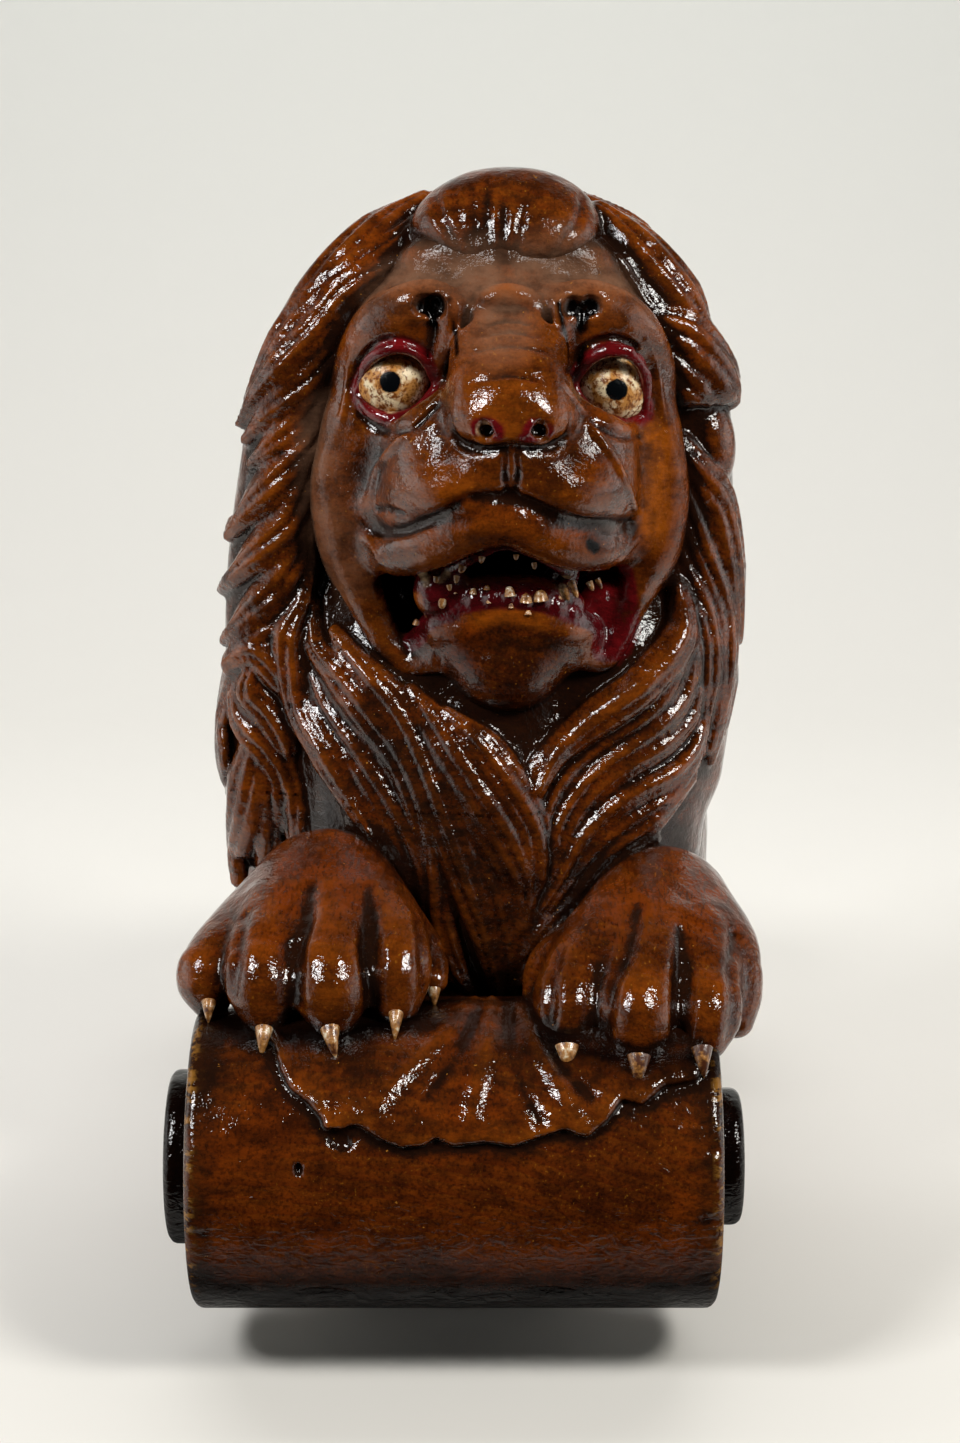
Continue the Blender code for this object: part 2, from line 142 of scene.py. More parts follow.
def stretched(tree, place, *scale):
    """A place with its co-ordinates scaled, which draws out what is laid on it."""
    return add(tree, "ShaderNodeMapping", Vector=place, Scale=scale).outputs[0]


def painted_on(tree, name):
    """What an attribute of the mesh holds at each place."""
    return add(tree, "ShaderNodeAttribute", {"attribute_name": name}).outputs["Fac"]


def layered(tree, colour, *layers):
    """Lay paints over a colour one after another, each with how far it covers."""
    for cover, paint in layers:
        colour = mixed(tree, cover, colour, linear(paint) if isinstance(paint, str) else paint)
    return colour


def close_material(tree, **inputs):
    """Give a material its surface."""
    surface = add(tree, "ShaderNodeBsdfPrincipled", **inputs)
    add(tree, "ShaderNodeOutputMaterial", Surface=surface.outputs[0])


# The sheet of paper: flat under the lion, from just before it, and bent up in a wide curve behind it
paper, tree, place = new_material("matt_paper_backdrop")
# Painted shade on the paper: darker at its front, and a little darker and greener higher up
tone = mixed(tree, ramp(tree, part_of(tree, place, "Y"), -0.36, 0.1), linear("#e8e5de"), linear("#f4f1ea"))
tone = mixed(tree, ramp(tree, part_of(tree, place, "Z"), 0.0, 0.9), tone, linear("#eceee8"))
close_material(tree, Base_Color=tone, Roughness=0.95, Specular_IOR_Level=0.1)

SHEET_FRONT, SHEET_BEND, BEND_RADIUS, SHEET_TOP, SHEET_HALF = -0.345, 0.9, 0.8, 4.5, 4.0
backdrop = bpy.data.meshes.new("paper_backdrop")
rows = [(SHEET_FRONT, 0.0), (SHEET_BEND, 0.0)]
rows += [(SHEET_BEND + BEND_RADIUS * math.sin(a), BEND_RADIUS - BEND_RADIUS * math.cos(a))
         for a in (k * math.pi / 24 for k in range(1, 13))]
rows.append((SHEET_BEND + BEND_RADIUS, SHEET_TOP))
corners = [(x, y, z) for y, z in rows for x in (-SHEET_HALF, SHEET_HALF)]
backdrop.from_pydata(corners, [], [(2 * k, 2 * k + 1, 2 * k + 3, 2 * k + 2) for k in range(len(rows) - 1)])
backdrop.polygons.foreach_set("use_smooth", [True] * len(backdrop.polygons))
backdrop.materials.append(paper)
backdrop_sheet = bpy.data.objects.new("paper_backdrop", backdrop)
bpy.context.scene.collection.objects.link(backdrop_sheet)


def soft_lamp(name, place, aim, width, height, watts, colour):
    """A soft rectangular lamp that points at a place, in metres and watts."""
    lamp = bpy.data.lights.new(name, "AREA")
    lamp.shape = "RECTANGLE"
    lamp.size, lamp.size_y = width, height
    lamp.energy = watts
    lamp.color = linear(colour)[:3]
    stand = bpy.data.objects.new(name, lamp)
    stand.location = place
    way = np.array(aim, float) - np.array(place, float)
    flat = math.hypot(way[0], way[1])
    stand.rotation_euler = (math.atan2(flat, -way[2]), 0, math.atan2(-way[0], way[1]))
    bpy.context.scene.collection.objects.link(stand)
    return stand


for name, side, watts, colour in (("left_key", -0.78, 11.0, "#ffffff"), ("right_key", 0.78, 12.0, "#fffdf8")):
    soft_lamp(name, (side, -0.92, 1.12), (0, -0.2, 0.28), 0.36, 0.36, watts, colour)
over = soft_lamp("back_softbox", (0.0, 0.55, 2.0), (0, 0.8, 0.0), 2.8, 0.8, 27.0, "#fdfdff")
over.visible_glossy = False
bpy.context.scene.view_settings.view_transform = "Standard"

# The room: white walls at the sides and behind the lion, and dark behind the camera
world = bpy.data.worlds.new("studio_room")
bpy.context.scene.world = world
world.use_nodes = True
room = world.node_tree
toward = add(room, "ShaderNodeTexCoord").outputs["Generated"]
across, behind, upward = (part_of(room, toward, axis) for axis in "XYZ")
room.nodes["Background"].inputs["Color"].default_value = linear("#f4f5f2")
sideways = add(room, "ShaderNodeMath", {"operation": "ABSOLUTE"}, i0=across).outputs[0]
walls = sums(room, "ADD", behind, times(room, sideways, 0.35))
walls = sums(room, "SUBTRACT", walls, sums(room, "MAXIMUM", upward, 0.0))
beside = times(room, ramp(room, sideways, 0.7, 0.97, 0.0, 0.9), ramp(room, upward, 0.25, 0.6, 1.0, 0.0))
bright_walls = sums(room, "ADD", ramp(room, walls, -0.25, 0.45, 0.01, 0.85), beside)
room.links.new(bright_walls, room.nodes["Background"].inputs["Strength"])

# Wood is worked here as a block of small cells, each with its distance from the surface, so that forms run
# into each other as in carving. A cell's side is in mm.
CELL = 1.0
FAR = 22.0


class Wood:
    """A block of space in small cells that hold the distance, in mm, to the surface of the wood."""

    def __init__(self, low, high, cell):
        self.cell = cell
        self.axes = [np.arange(a, b + cell, cell, dtype=np.float32) for a, b in zip(low, high)]
        self.depth = np.full([len(a) for a in self.axes], FAR, np.float32)

    def window(self, low, high):
        cuts = []
        for axis, a, b in zip(self.axes, low, high):
            start = max(0, int((a - axis[0]) / self.cell) - 1)
            stop = min(len(axis), int((b - axis[0]) / self.cell) + 2)
            cuts.append(slice(start, max(start, stop)))
        return tuple(cuts)

    def grid(self, cuts):
        x, y, z = (axis[cut] for axis, cut in zip(self.axes, cuts))
        return x[:, None, None], y[None, :, None], z[None, None, :]

    def work(self, cuts, form, blend=0.0, away=False):
        """Add a form to the wood, or take it away, with a hollow of radius blend where the two meet."""
        wood = self.depth[cuts]
        sign = -1 if away else 1
        form = form * sign
        best = np.maximum(wood, form) if away else np.minimum(wood, form)
        if blend > 0:
            near = np.maximum(blend - np.abs(wood - form), 0) / blend
            best = best - sign * near * near * blend * 0.25
        self.depth[cuts] = best


def turned(degrees):
    """The turn about x, then y, then z, by angles in degrees."""
    a, b, c = (math.radians(d) for d in degrees)
    about_x = np.array([[1, 0, 0], [0, math.cos(a), -math.sin(a)], [0, math.sin(a), math.cos(a)]])
    about_y = np.array([[math.cos(b), 0, math.sin(b)], [0, 1, 0], [-math.sin(b), 0, math.cos(b)]])
    about_z = np.array([[math.cos(c), -math.sin(c), 0], [math.sin(c), math.cos(c), 0], [0, 0, 1]])
    return about_z @ about_y @ about_x


def egg(wood, place, size, turn=(0, 0, 0), blend=6.0, away=False, margin=18.0):
    """An egg-shaped mass with half sizes along its own axes, or a hollow of that shape."""
    place, size, frame_turn = np.asarray(place, float), np.asarray(size, float), turned(turn)
    reach = np.sqrt(((frame_turn * size) ** 2).sum(1)) + margin
    cuts = wood.window(place - reach, place + reach)
    x, y, z = wood.grid(cuts)
    x, y, z = x - place[0], y - place[1], z - place[2]
    near, steep = 0, 0
    for k in range(3):
        own = frame_turn[0, k] * x + frame_turn[1, k] * y + frame_turn[2, k] * z
        near = near + (own / size[k]) ** 2
        steep = steep + (own / size[k] ** 2) ** 2
    near, steep = np.sqrt(near), np.sqrt(steep)
    form = np.where(steep > 1e-9, near * (near - 1) / np.maximum(steep, 1e-9), -size.min())
    wood.work(cuts, np.minimum(form, FAR).astype(np.float32), blend, away)


def smooth_line(points, step=3.0):
    """A smooth curve through the points, and where each of its points lies among them."""
    p = np.asarray(points, float)
    if len(p) == 2:
        share = np.linspace(0, 1, max(2, int(np.linalg.norm(p[1] - p[0]) / step) + 1))
        return p[0] + (p[1] - p[0]) * share[:, None], share
    ends = np.vstack([2 * p[0] - p[1], p, 2 * p[-1] - p[-2]])
    line, index = [], []
    for k in range(len(p) - 1):
        a, b, c, d = ends[k:k + 4]
        count = max(2, int(np.linalg.norm(c - b) / step) + 1)
        t = np.linspace(0, 1, count, endpoint=False)[:, None]
        line.append(0.5 * (2 * b + (c - a) * t + (2 * a - 5 * b + 4 * c - d) * t ** 2
                           + (3 * b - a - 3 * c + d) * t ** 3))
        index.append(k + t[:, 0])
    return np.vstack(line + [p[-1:]]), np.concatenate(index + [np.array([len(p) - 1.0])])


def along(values, index, count):
    """Values given at even places along a line, read off at the curve's own points."""
    values = np.atleast_1d(np.asarray(values, float))
    return np.interp(index, np.linspace(0, count - 1, len(values)), values) if len(values) > 1 else \
        np.full(len(index), values[0])


def steps_along(wood, line, cuts, pad):
    """Go along a line over the cells near it. For each step: its number, its cells as a part of the whole
    window, how far along the step they lie, and how far off it they are in x, y and z."""
    for k in range(len(line) - 1):
        part = wood.window(np.minimum(line[k], line[k + 1]) - pad, np.maximum(line[k], line[k + 1]) + pad)
        inner = tuple(slice(max(0, p.start - c.start), max(0, p.stop - c.start)) for p, c in zip(part, cuts))
        x, y, z = wood.grid(part)
        way = line[k + 1] - line[k]
        x, y, z = x - line[k][0], y - line[k][1], z - line[k][2]
        t = np.clip((x * way[0] + y * way[1] + z * way[2]) / (way @ way + 1e-9), 0, 1)
        yield k, inner, t, x - t * way[0], y - t * way[1], z - t * way[2]


def roll(wood, points, radii, blend=5.0, away=False, margin=18.0):
    """A round form that swells and thins along a smooth line, or a groove of that shape."""
    line, index = smooth_line(points)
    radius = along(radii, index, len(points))
    pad = radius.max() + margin
    cuts = wood.window(line.min(0) - pad, line.max(0) + pad)
    form = np.full([c.stop - c.start for c in cuts], FAR, np.float32)
    for k, inner, t, x, y, z in steps_along(wood, line, cuts, pad):
        off = np.sqrt(x ** 2 + y ** 2 + z ** 2)
        form[inner] = np.minimum(form[inner], off - (radius[k] + (radius[k + 1] - radius[k]) * t))
    wood.work(cuts, form, blend, away)


def eggs(wood, rows, away=False):
    """Egg-shaped masses at picture places: place, half sizes, lean in degrees and blend."""
    for place, size, lean, blend in rows:
        egg(wood, seen(*place), size, (0, lean, 0), blend, away)


def rolls(wood, rows, away=False):
    """Round forms through picture places: the places, radii and blend."""
    for places, radii, blend in rows:
        roll(wood, line_seen(*places), radii, blend, away)


def box(wood, low, high, arris):
    """A square block with rounded arrises."""
    low, high = np.array(low, float), np.array(high, float)
    cuts = wood.window(low - 8, high + 8)
    middle, half = (low + high) / 2, (high - low) / 2 - arris
    q = [np.abs(axis - middle[k]) - half[k] for k, axis in enumerate(wood.grid(cuts))]
    outside = np.sqrt(sum(np.maximum(a, 0) ** 2 for a in q))
    inside = np.minimum(np.maximum(np.maximum(q[0], q[1]), q[2]), 0)
    wood.work(cuts, (outside + inside - arris).astype(np.float32), 2.0)


def surface_of(wood):
    """The skin of the wood: its points in mm, and its four-sided faces turned outwards."""
    depth = wood.depth.copy()
    for axis, length in enumerate(depth.shape):
        from_edge = np.arange(length)[::-1]
        if axis < 2:
            from_edge = np.minimum(from_edge, np.arange(length))
        shape = [-1 if n == axis else 1 for n in range(3)]
        depth += (0.2 * wood.cell * np.maximum(4 - from_edge, 0)).astype(np.float32).reshape(shape)
    for face in (np.s_[[0, -1]], np.s_[:, [0, -1]], np.s_[:, :, [0, -1]]):
        depth[face] = np.maximum(depth[face], wood.cell / 2)
    inside = depth < 0
    count = np.zeros([n - 1 for n in depth.shape], np.uint8)
    corners = [(i, j, k) for k in (0, 1) for j in (0, 1) for i in (0, 1)]
    for i, j, k in corners:
        count += inside[i:inside.shape[0] - 1 + i, j:inside.shape[1] - 1 + j, k:inside.shape[2] - 1 + k]
    cells = np.argwhere((count > 0) & (count < 8))
    i, j, k = cells.T
    number = np.full(count.shape, -1, np.int32)
    number[i, j, k] = np.arange(len(cells))
    value = {c: depth[i + c[0], j + c[1], k + c[2]] for c in corners}
    place, crossings = np.zeros((len(cells), 3)), np.zeros(len(cells))
    for a in corners:
        for axis in range(3):
            if a[axis]:
                continue
            b = tuple(1 if n == axis else a[n] for n in range(3))
            crossed = (value[a] < 0) != (value[b] < 0)
            place[crossed] += a
            place[crossed, axis] += value[a][crossed] / (value[a][crossed] - value[b][crossed])
            crossings[crossed] += 1
    place = place / crossings[:, None] + cells
    points = np.stack([wood.axes[n][0] + place[:, n] * wood.cell for n in range(3)], 1)
    faces = []
    for axis in range(3):
        low, high = [slice(1, -1)] * 3, [slice(1, -1)] * 3
        low[axis], high[axis] = slice(0, -1), slice(1, None)
        a, b = inside[tuple(low)], inside[tuple(high)]
        edge = np.argwhere(a != b)
        starts_inside = a[tuple(edge.T)]
        edge = edge + np.array([0 if n == axis else 1 for n in range(3)])
        one, two = [n for n in range(3) if n != axis]
        ring = []
        for d1, d2 in ((-1, -1), (0, -1), (0, 0), (-1, 0)):
            cell = edge.copy()
            cell[:, one] += d1
            cell[:, two] += d2
            ring.append(number[tuple(cell.T)])
        face = np.stack(ring, 1)
        flip = starts_inside if axis == 1 else ~starts_inside
        face[flip] = face[flip][:, ::-1]
        faces.append(face)
    faces = np.vstack(faces)
    return points, faces[(faces >= 0).all(1)]


def as_mesh(name, points, faces, material, kept=1.0):
    """A named object of points in mm and faces, in the shared frame, with a share of its triangles kept."""
    mesh = bpy.data.meshes.new(name)
    places = (points - np.array([0, MIDDLE_BACK, 0])) / 1000
    mesh.vertices.add(len(points))
    mesh.vertices.foreach_set("co", places.astype(np.float32).ravel())
    mesh.loops.add(faces.size)
    mesh.loops.foreach_set("vertex_index", faces.astype(np.int32).ravel())
    mesh.polygons.add(len(faces))
    mesh.polygons.foreach_set("loop_start", np.arange(0, faces.size, faces.shape[1], dtype=np.int32))
    mesh.polygons.foreach_set("use_smooth", np.ones(len(faces), bool))
    mesh.update(calc_edges=True)
    mesh.validate()
    mesh.materials.append(material)
    piece = bpy.data.objects.new(name, mesh)
    bpy.context.scene.collection.objects.link(piece)
    if kept < 1:
        fewer = piece.modifiers.new("fewer_triangles", "DECIMATE")
        fewer.ratio = kept
        scene_now = bpy.context.evaluated_depsgraph_get()
        piece.data = bpy.data.meshes.new_from_object(piece.evaluated_get(scene_now))
        piece.modifiers.remove(fewer)
    return piece


def depth_at(wood, p):
    """The wood's distance at any places, read between the cells."""
    cell, share = [], []
    for n, axis in enumerate(wood.axes):
        at = np.clip((p[:, n] - axis[0]) / wood.cell, 0, len(axis) - 1.001)
        cell.append(at.astype(int))
        share.append(at - at.astype(int))
    total = 0
    for i in (0, 1):
        for j in (0, 1):
            for k in (0, 1):
                part = 1
                for n, corner in enumerate((i, j, k)):
                    part = part * (share[n] if corner else 1 - share[n])
                total = total + part * wood.depth[cell[0] + i, cell[1] + j, cell[2] + k]
    return total


def laid(mass, places):
    """Where picture points fall on the skin of a mass, and which way the skin faces there."""
    spots = []
    depths = np.arange(-60, 240, 1.0)
    for u, v in places:
        ends = np.array([seen(u, v, y) for y in (depths[0], depths[-1])])
        ray = ends[0] + (ends[1] - ends[0]) * ((depths - depths[0]) / (depths[-1] - depths[0]))[:, None]
        hidden = depth_at(mass, ray)
        spots.append(ray[int(np.argmax(hidden < 0)) if hidden.min() < 0 else int(np.argmin(hidden))])
    spots = np.array(spots)
    faces = np.zeros_like(spots)
    for n in range(3):
        step = np.zeros(3)
        step[n] = 4.0
        faces[:, n] = depth_at(mass, spots + step) - depth_at(mass, spots - step)
    return spots, faces / (np.linalg.norm(faces, axis=1)[:, None] + 1e-6)


def score(wood, places, radii, rise=0.0, blend=2.0, away=True):
    """A groove, or a raised line, that follows picture points over the wood as it stands."""
    line, _ = smooth_line([(u, v, 0) for u, v in places], 10.0)
    spots, outward = laid(wood, line[:, :2])
    roll(wood, spots + outward * rise, radii, blend, away, margin=6)


# Old wood under thick varnish: stained red-brown, its pores filled with dark varnish, its hollows darkened
# with grime and with painted shade, its crests rubbed lighter and lit places painted lighter, with satin and
# dull places on the face, the satin ones with a painted grey sheen. The varnish is glossy, finely bubbled and
# brushed, so it gives broken highlights. Eyelids, nostrils and the mouth's corners are painted dark red, the
# gums wine red. Deep holes, creases and the scroll's low band and bosses are painted black as shade. Arrises
# have lost their varnish in small chips.
wood_finish, tree, place = new_material("thick_glossy_varnish_on_carved_wood")

# Grain: growth rings about 5 mm wide round a heart line that runs from front to back, below the block
heart = add(tree, "ShaderNodeMapping", {"vector_type": "POINT"}, Vector=place, Location=(0.05, 0.0, 0.30),
            Rotation=(math.radians(6), 0, math.radians(4)))
patches = add(tree, "ShaderNodeTexNoise", Vector=place, Scale=24.0, Detail=4.0, Roughness=0.62)
shifted = add(tree, "ShaderNodeVectorMath", {"operation": "MULTIPLY_ADD"}, i0=patches.outputs["Color"],
              i1=(0.012, 0.012, 0.012), i2=heart.outputs[0])
rings = add(tree, "ShaderNodeTexWave", {"wave_type": "RINGS", "rings_direction": "Y", "wave_profile": "SAW"},
            Vector=shifted.outputs[0], Scale=62.0, Distortion=0.6, Detail=1.0, Detail_Scale=1.2)
patchy = patches.outputs["Fac"]
fibre = noise(tree, stretched(tree, place, 1.0, 0.08, 1.0), 800.0)
fine_place = stretched(tree, place, 0.55, 0.5, 1.0)
fine = noise(tree, fine_place, 230.0, 4.0, Roughness=0.68)
clouds = noise(tree, stretched(tree, place, 0.55, 0.35, 0.9), 80.0, 5.0, Roughness=0.7)
specks = noise(tree, place, 640.0, 1.0)

# Stain, pores, rubbed crests and painted light, flecks, grime and painted shade, satin places with a painted
# grey sheen, specks and bare arrises, from the wood upward
grain = times(tree, ramp(tree, rings.outputs["Fac"], 0.1, 0.95), ramp(tree, patchy, 0.4, 0.6))
# Crests lighter: rubbed wear, and painted light on lit places
rubbed_and_lit = times(tree, painted_on(tree, "worn"), ramp(tree, clouds, 0.36, 0.6, 1.0, 0.15))
flecks = times(tree, ramp(tree, fibre, 0.34, 0.26), ramp(tree, patchy, 0.45, 0.6), 0.3)
# Hollows darker: grime, and painted shade where shade falls in them
dirt_and_shade = sums(tree, "ADD", painted_on(tree, "grime"), ramp(tree, fine, 0.3, 0.7, -0.2, 0.2), clamp=True)
# Satin places: less gloss, and a painted grey sheen
satin_and_painted_sheen = painted_on(tree, "satin_and_painted_sheen")
colour = layered(tree, mixed(tree, grain, linear("#6b2c06"), linear("#84430d")),
                 (ramp(tree, patchy, 0.4, 0.66, 0.0, 0.85), "#481b06"),
                 (ramp(tree, clouds, 0.44, 0.66, 0.0, 0.75), "#2a0f04"),
                 (ramp(tree, fine, 0.44, 0.64, 0.0, 0.5), "#240d04"),
                 (ramp(tree, fibre, 0.48, 0.66, 0.0, 0.65), "#240b03"),
                 (rubbed_and_lit, "#a1520f"),
                 (flecks, "#c08022"),
                 (ramp(tree, dirt_and_shade, 0.1, 0.7, 0.0, 0.9), "#170d08"),
                 (times(tree, satin_and_painted_sheen, ramp(tree, clouds, 0.35, 0.6, 0.9, 0.3)), "#7a5843"),
                 (ramp(tree, specks, 0.78, 0.82, 0.0, 0.7), "#b97a2c"),
                 (times(tree, painted_on(tree, "arris"), ramp(tree, fine, 0.49, 0.58)), "#a8742f"))

# Paint on the wood, broken where it has worn thin, then black laid as painted shade in deep places
thick = ramp(tree, fine, 0.3, 0.62)
colour = layered(tree, colour,
                 (times(tree, painted_on(tree, "red"), ramp(tree, thick, 0.0, 0.4, 0.8, 1.0)),
                  mixed(tree, thick, linear("#3e070a"), linear("#6e1014"))),
                 (times(tree, painted_on(tree, "gum"), ramp(tree, thick, 0.0, 0.4, 0.85, 1.0)),
                  mixed(tree, thick, linear("#1f0305"), linear("#560d12"))),
                 (times(tree, painted_on(tree, "cream"), ramp(tree, thick, 0.2, 0.6, 0.2, 1.0)), "#cfae84"),
                 (painted_on(tree, "black_and_painted_shade"), "#040202"))

# Varnish: brushed and bubbled in ripples of 2 to 4 mm, over hand-cut facets of about 12 mm. Below the paws
# it has run and wrinkled. It is thin low down, where grime and painted shade lie, and on satin and dull
# places.
height_above = part_of(tree, place, "Z")
wrinkles = times(tree, noise(tree, fine_place, 260.0, 2.0, Distortion=1.5),
                 ramp(tree, height_above, 0.03, 0.11, 1.0, 0.0))
height = times(tree, noise(tree, place, 480.0, 2.0, Roughness=0.6), 0.00026)
for ripples, size in ((noise(tree, place, 85.0, 1.0), 0.0012), (fine, 0.0005), (wrinkles, 0.0016)):
    height = sums(tree, "ADD", height, times(tree, ripples, size))
bumps = add(tree, "ShaderNodeBump", Height=height, Strength=1.0, Distance=1.0).outputs[0]
varnish = times(tree, sums(tree, "MAXIMUM", ramp(tree, height_above, 0.042, 0.1),
                           ramp(tree, height_above, 0.03, 0.05, 0.45, 0.0)),
                ramp(tree, dirt_and_shade, 0.4, 1.0, 1.0, 0.7), ramp(tree, satin_and_painted_sheen, 0.0, 1.0, 1.0, 0.08),
                ramp(tree, painted_on(tree, "dull"), 0.0, 1.0, 1.0, 0.1))
close_material(tree, Base_Color=colour, Roughness=0.45, Normal=bumps, Specular_IOR_Level=0.0,
               Coat_Weight=varnish, Coat_Roughness=0.055, Coat_IOR=1.6, Coat_Normal=bumps)

# The carved pieces, each with the block of wood that it came from
carved = []


def worked(low, high, cell, forms):
    """A block of wood with forms worked in it, one after another."""
    wood = Wood(low, high, cell)
    for form in forms:
        form(wood)
    return wood


def carve(name, low, high, cell, forms, kept):
    """Carve one piece from a block of its own, and remember both."""
    wood = worked(low, high, cell, forms)
    piece = as_mesh(name, *surface_of(wood), wood_finish, kept)
    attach(piece, "root")
    carved.append((piece, wood))
    return piece


# The base: a narrow block with a wider ledge on it, sawn and planed, which carries the lion's body behind
# the scroll. It is cut from the same piece of wood as all the rest.
BASE_HALF = 48
LEDGE_HALF = 84
BODY_CELL = 2.0 * CELL


def base_forms(wood):
    box(wood, (-BASE_HALF, 45, 0), (BASE_HALF, 455, 62), 2)
    box(wood, (-LEDGE_HALF, 61, 46), (LEDGE_HALF, 461, 66), 5)


base = carve("base_block_and_ledge", (-90, 38, -6), (90, 467, 76), BODY_CELL, [base_forms], 0.12)
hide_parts("lion_carving")

# The scroll: a cylinder 114 mm thick that lies across the front, cut from the block's end, with a boss on
# each end, the left one wider. Its band runs back and down from the top to the ledge, under the fore legs.
SCROLL_RADIUS = 57.0
SCROLL_HALF = 98.5
SCROLL_AXIS = 77.0
BOSS_HALF = 10.5
LEFT_BOSS_RADIUS = 33.0
RIGHT_BOSS_RADIUS = 26.0
SCROLL_ARRIS = 4.0
APRON_THICKNESS = 2.2


def drum(wood, centre, half, radius, blend):
    """A short cylinder about the scroll's axis, with rounded arrises."""
    cuts = wood.window((centre - half - 8, -radius - 8, SCROLL_AXIS - radius - 8),
                       (centre + half + 8, radius + 8, SCROLL_AXIS + radius + 8))
    x, y, z = wood.grid(cuts)
    out = np.sqrt(y ** 2 + (z - SCROLL_AXIS) ** 2) - (radius - SCROLL_ARRIS)
    side = np.abs(x - centre) - (half - SCROLL_ARRIS)
    form = np.sqrt(np.maximum(out, 0) ** 2 + np.maximum(side, 0) ** 2) + np.minimum(np.maximum(out, side), 0)
    wood.work(cuts, (form - SCROLL_ARRIS).astype(np.float32), blend)


def scroll_forms(wood):
    drum(wood, 0, SCROLL_HALF, SCROLL_RADIUS, 2)
    drum(wood, -SCROLL_HALF, BOSS_HALF, LEFT_BOSS_RADIUS, 1)
    drum(wood, SCROLL_HALF, BOSS_HALF, RIGHT_BOSS_RADIUS, 1)


def slope_forms(wood):
    """The band of the scroll, as a thick strip that runs down to the ledge."""
    cuts = wood.window((-92, -6, 40), (92, 215, 145))
    x, y, z = wood.grid(cuts)
    top = np.interp(y, (-10.0, 0, 40, 80, 120, 160, 205, 225), (132.0, 132, 128, 116, 96, 78, 66, 64))
    form = np.maximum(np.maximum(z - top, np.abs(x) - LEDGE_HALF), np.maximum(-y, 50 - z))
    wood.work(cuts, form.astype(np.float32), 2)


def on_scroll(u, v, lift=0.0):
    """Where the camera's line through a picture point meets the scroll, in mm, raised by lift."""
    ray = seen(u, v, 0.0) - EYE
    ray /= np.linalg.norm(ray)
    start = EYE - np.array([0, 0, SCROLL_AXIS])
    a, b = ray[1:] @ ray[1:], start[1:] @ ray[1:]
    gap = start[1:] @ start[1:] - SCROLL_RADIUS ** 2
    hit = EYE + ray * (-b - math.sqrt(max(b * b - a * gap, 0))) / a
    outward = np.array([0, hit[1], hit[2] - SCROLL_AXIS]) / SCROLL_RADIUS
    return hit + outward * lift


HEM = ((236, 1012), (262, 1040), (275, 1048), (281, 1073), (290, 1090), (308, 1104), (322, 1120), (330, 1146),
       (345, 1128), (361, 1124), (377, 1138), (400, 1147), (423, 1146), (436, 1138), (453, 1146), (484, 1142),
       (514, 1146), (537, 1138), (564, 1130), (588, 1136), (606, 1122), (622, 1101), (642, 1106), (664, 1088),
       (696, 1082), (728, 1040))


def apron_forms(wood):
    """The thin drape over the scroll, between and under the paws, with folds that spread to a ragged hem."""
    cuts = wood.window((-84, -76, 60), (100, 46, 160))
    x, y, z = wood.grid(cuts)
    out = np.sqrt(y ** 2 + (z - SCROLL_AXIS) ** 2)
    turn = np.degrees(np.arctan2(z - SCROLL_AXIS, -y))
    edge = np.array([on_scroll(u, v) for u, v in HEM])
    hem = np.interp(x, edge[:, 0], np.degrees(np.arctan2(edge[:, 2] - SCROLL_AXIS, -edge[:, 1])))
    swell = 1.6 * np.exp(-((turn - hem - 5) / 8.0) ** 2)
    form = np.maximum(out - (SCROLL_RADIUS + APRON_THICKNESS + swell), (hem - turn) * 0.9)
    form = np.maximum(form, SCROLL_RADIUS - 6 - out)
    form = np.maximum(form, np.abs(x - 8) - 84)
    wood.work(cuts, np.minimum(form, FAR).astype(np.float32), 0.6)
    for fold, radii in (
            (((520, 1006), (529, 1030), (540, 1056), (558, 1088), (582, 1126)), (1.6, 1.8, 2.0, 2.0, 2.2)),
            (((474, 1004), (452, 1030), (425, 1056), (392, 1088), (368, 1118)), (2.0, 3, 3.6, 4, 4)),
            (((492, 1004), (488, 1040), (480, 1080), (470, 1118)), (1.6, 2.4, 3, 3))):
        roll(wood, [on_scroll(u, v, 2.8 - 0.95 * r) for (u, v), r in zip(fold, radii)], radii, blend=4)
    for valley in (((508, 1008), (510, 1050), (522, 1090), (540, 1124)),
                   ((482, 1010), (462, 1050), (430, 1096)),
                   ((538, 1034), (560, 1068), (592, 1100))):
        roll(wood, [on_scroll(u, v, 4.6) for u, v in valley], [1.2, 2.2, 2.2], blend=3, away=True)


def scroll_damage(wood):
    """A plugged nail hole, a split chip below the hem and bruises along the lower edge."""
    egg(wood, on_scroll(298, 1170), (1.6, 3, 2.6), blend=0.5, away=True, margin=4)
    egg(wood, on_scroll(338, 1140, 1.5), (6, 3.5, 4), (0, 30, 0), blend=0.5, away=True, margin=4)
    for u, v, size in ((236, 1288, 8), (330, 1293, 10), (452, 1290, 6), (560, 1293, 11), (664, 1286, 7),
                       (196, 1235, 5), (716, 1152, 5), (712, 1222, 6)):
        bruise = (size, 3.2, 0.35 * size)
        egg(wood, on_scroll(u, v, 2.0), bruise, (0, 3 * size - 20, 0), blend=2, away=True, margin=4)


scroll = carve("scroll_with_apron", (-112, -66, 14), (112, 216, 148), 1.25 * CELL,
               [scroll_forms, slope_forms, apron_forms, scroll_damage], 0.55)

# The body: back, shoulders, folded hind legs, fore legs and the tail, smooth and plainer than the head
# because they are seen from the side and from behind.


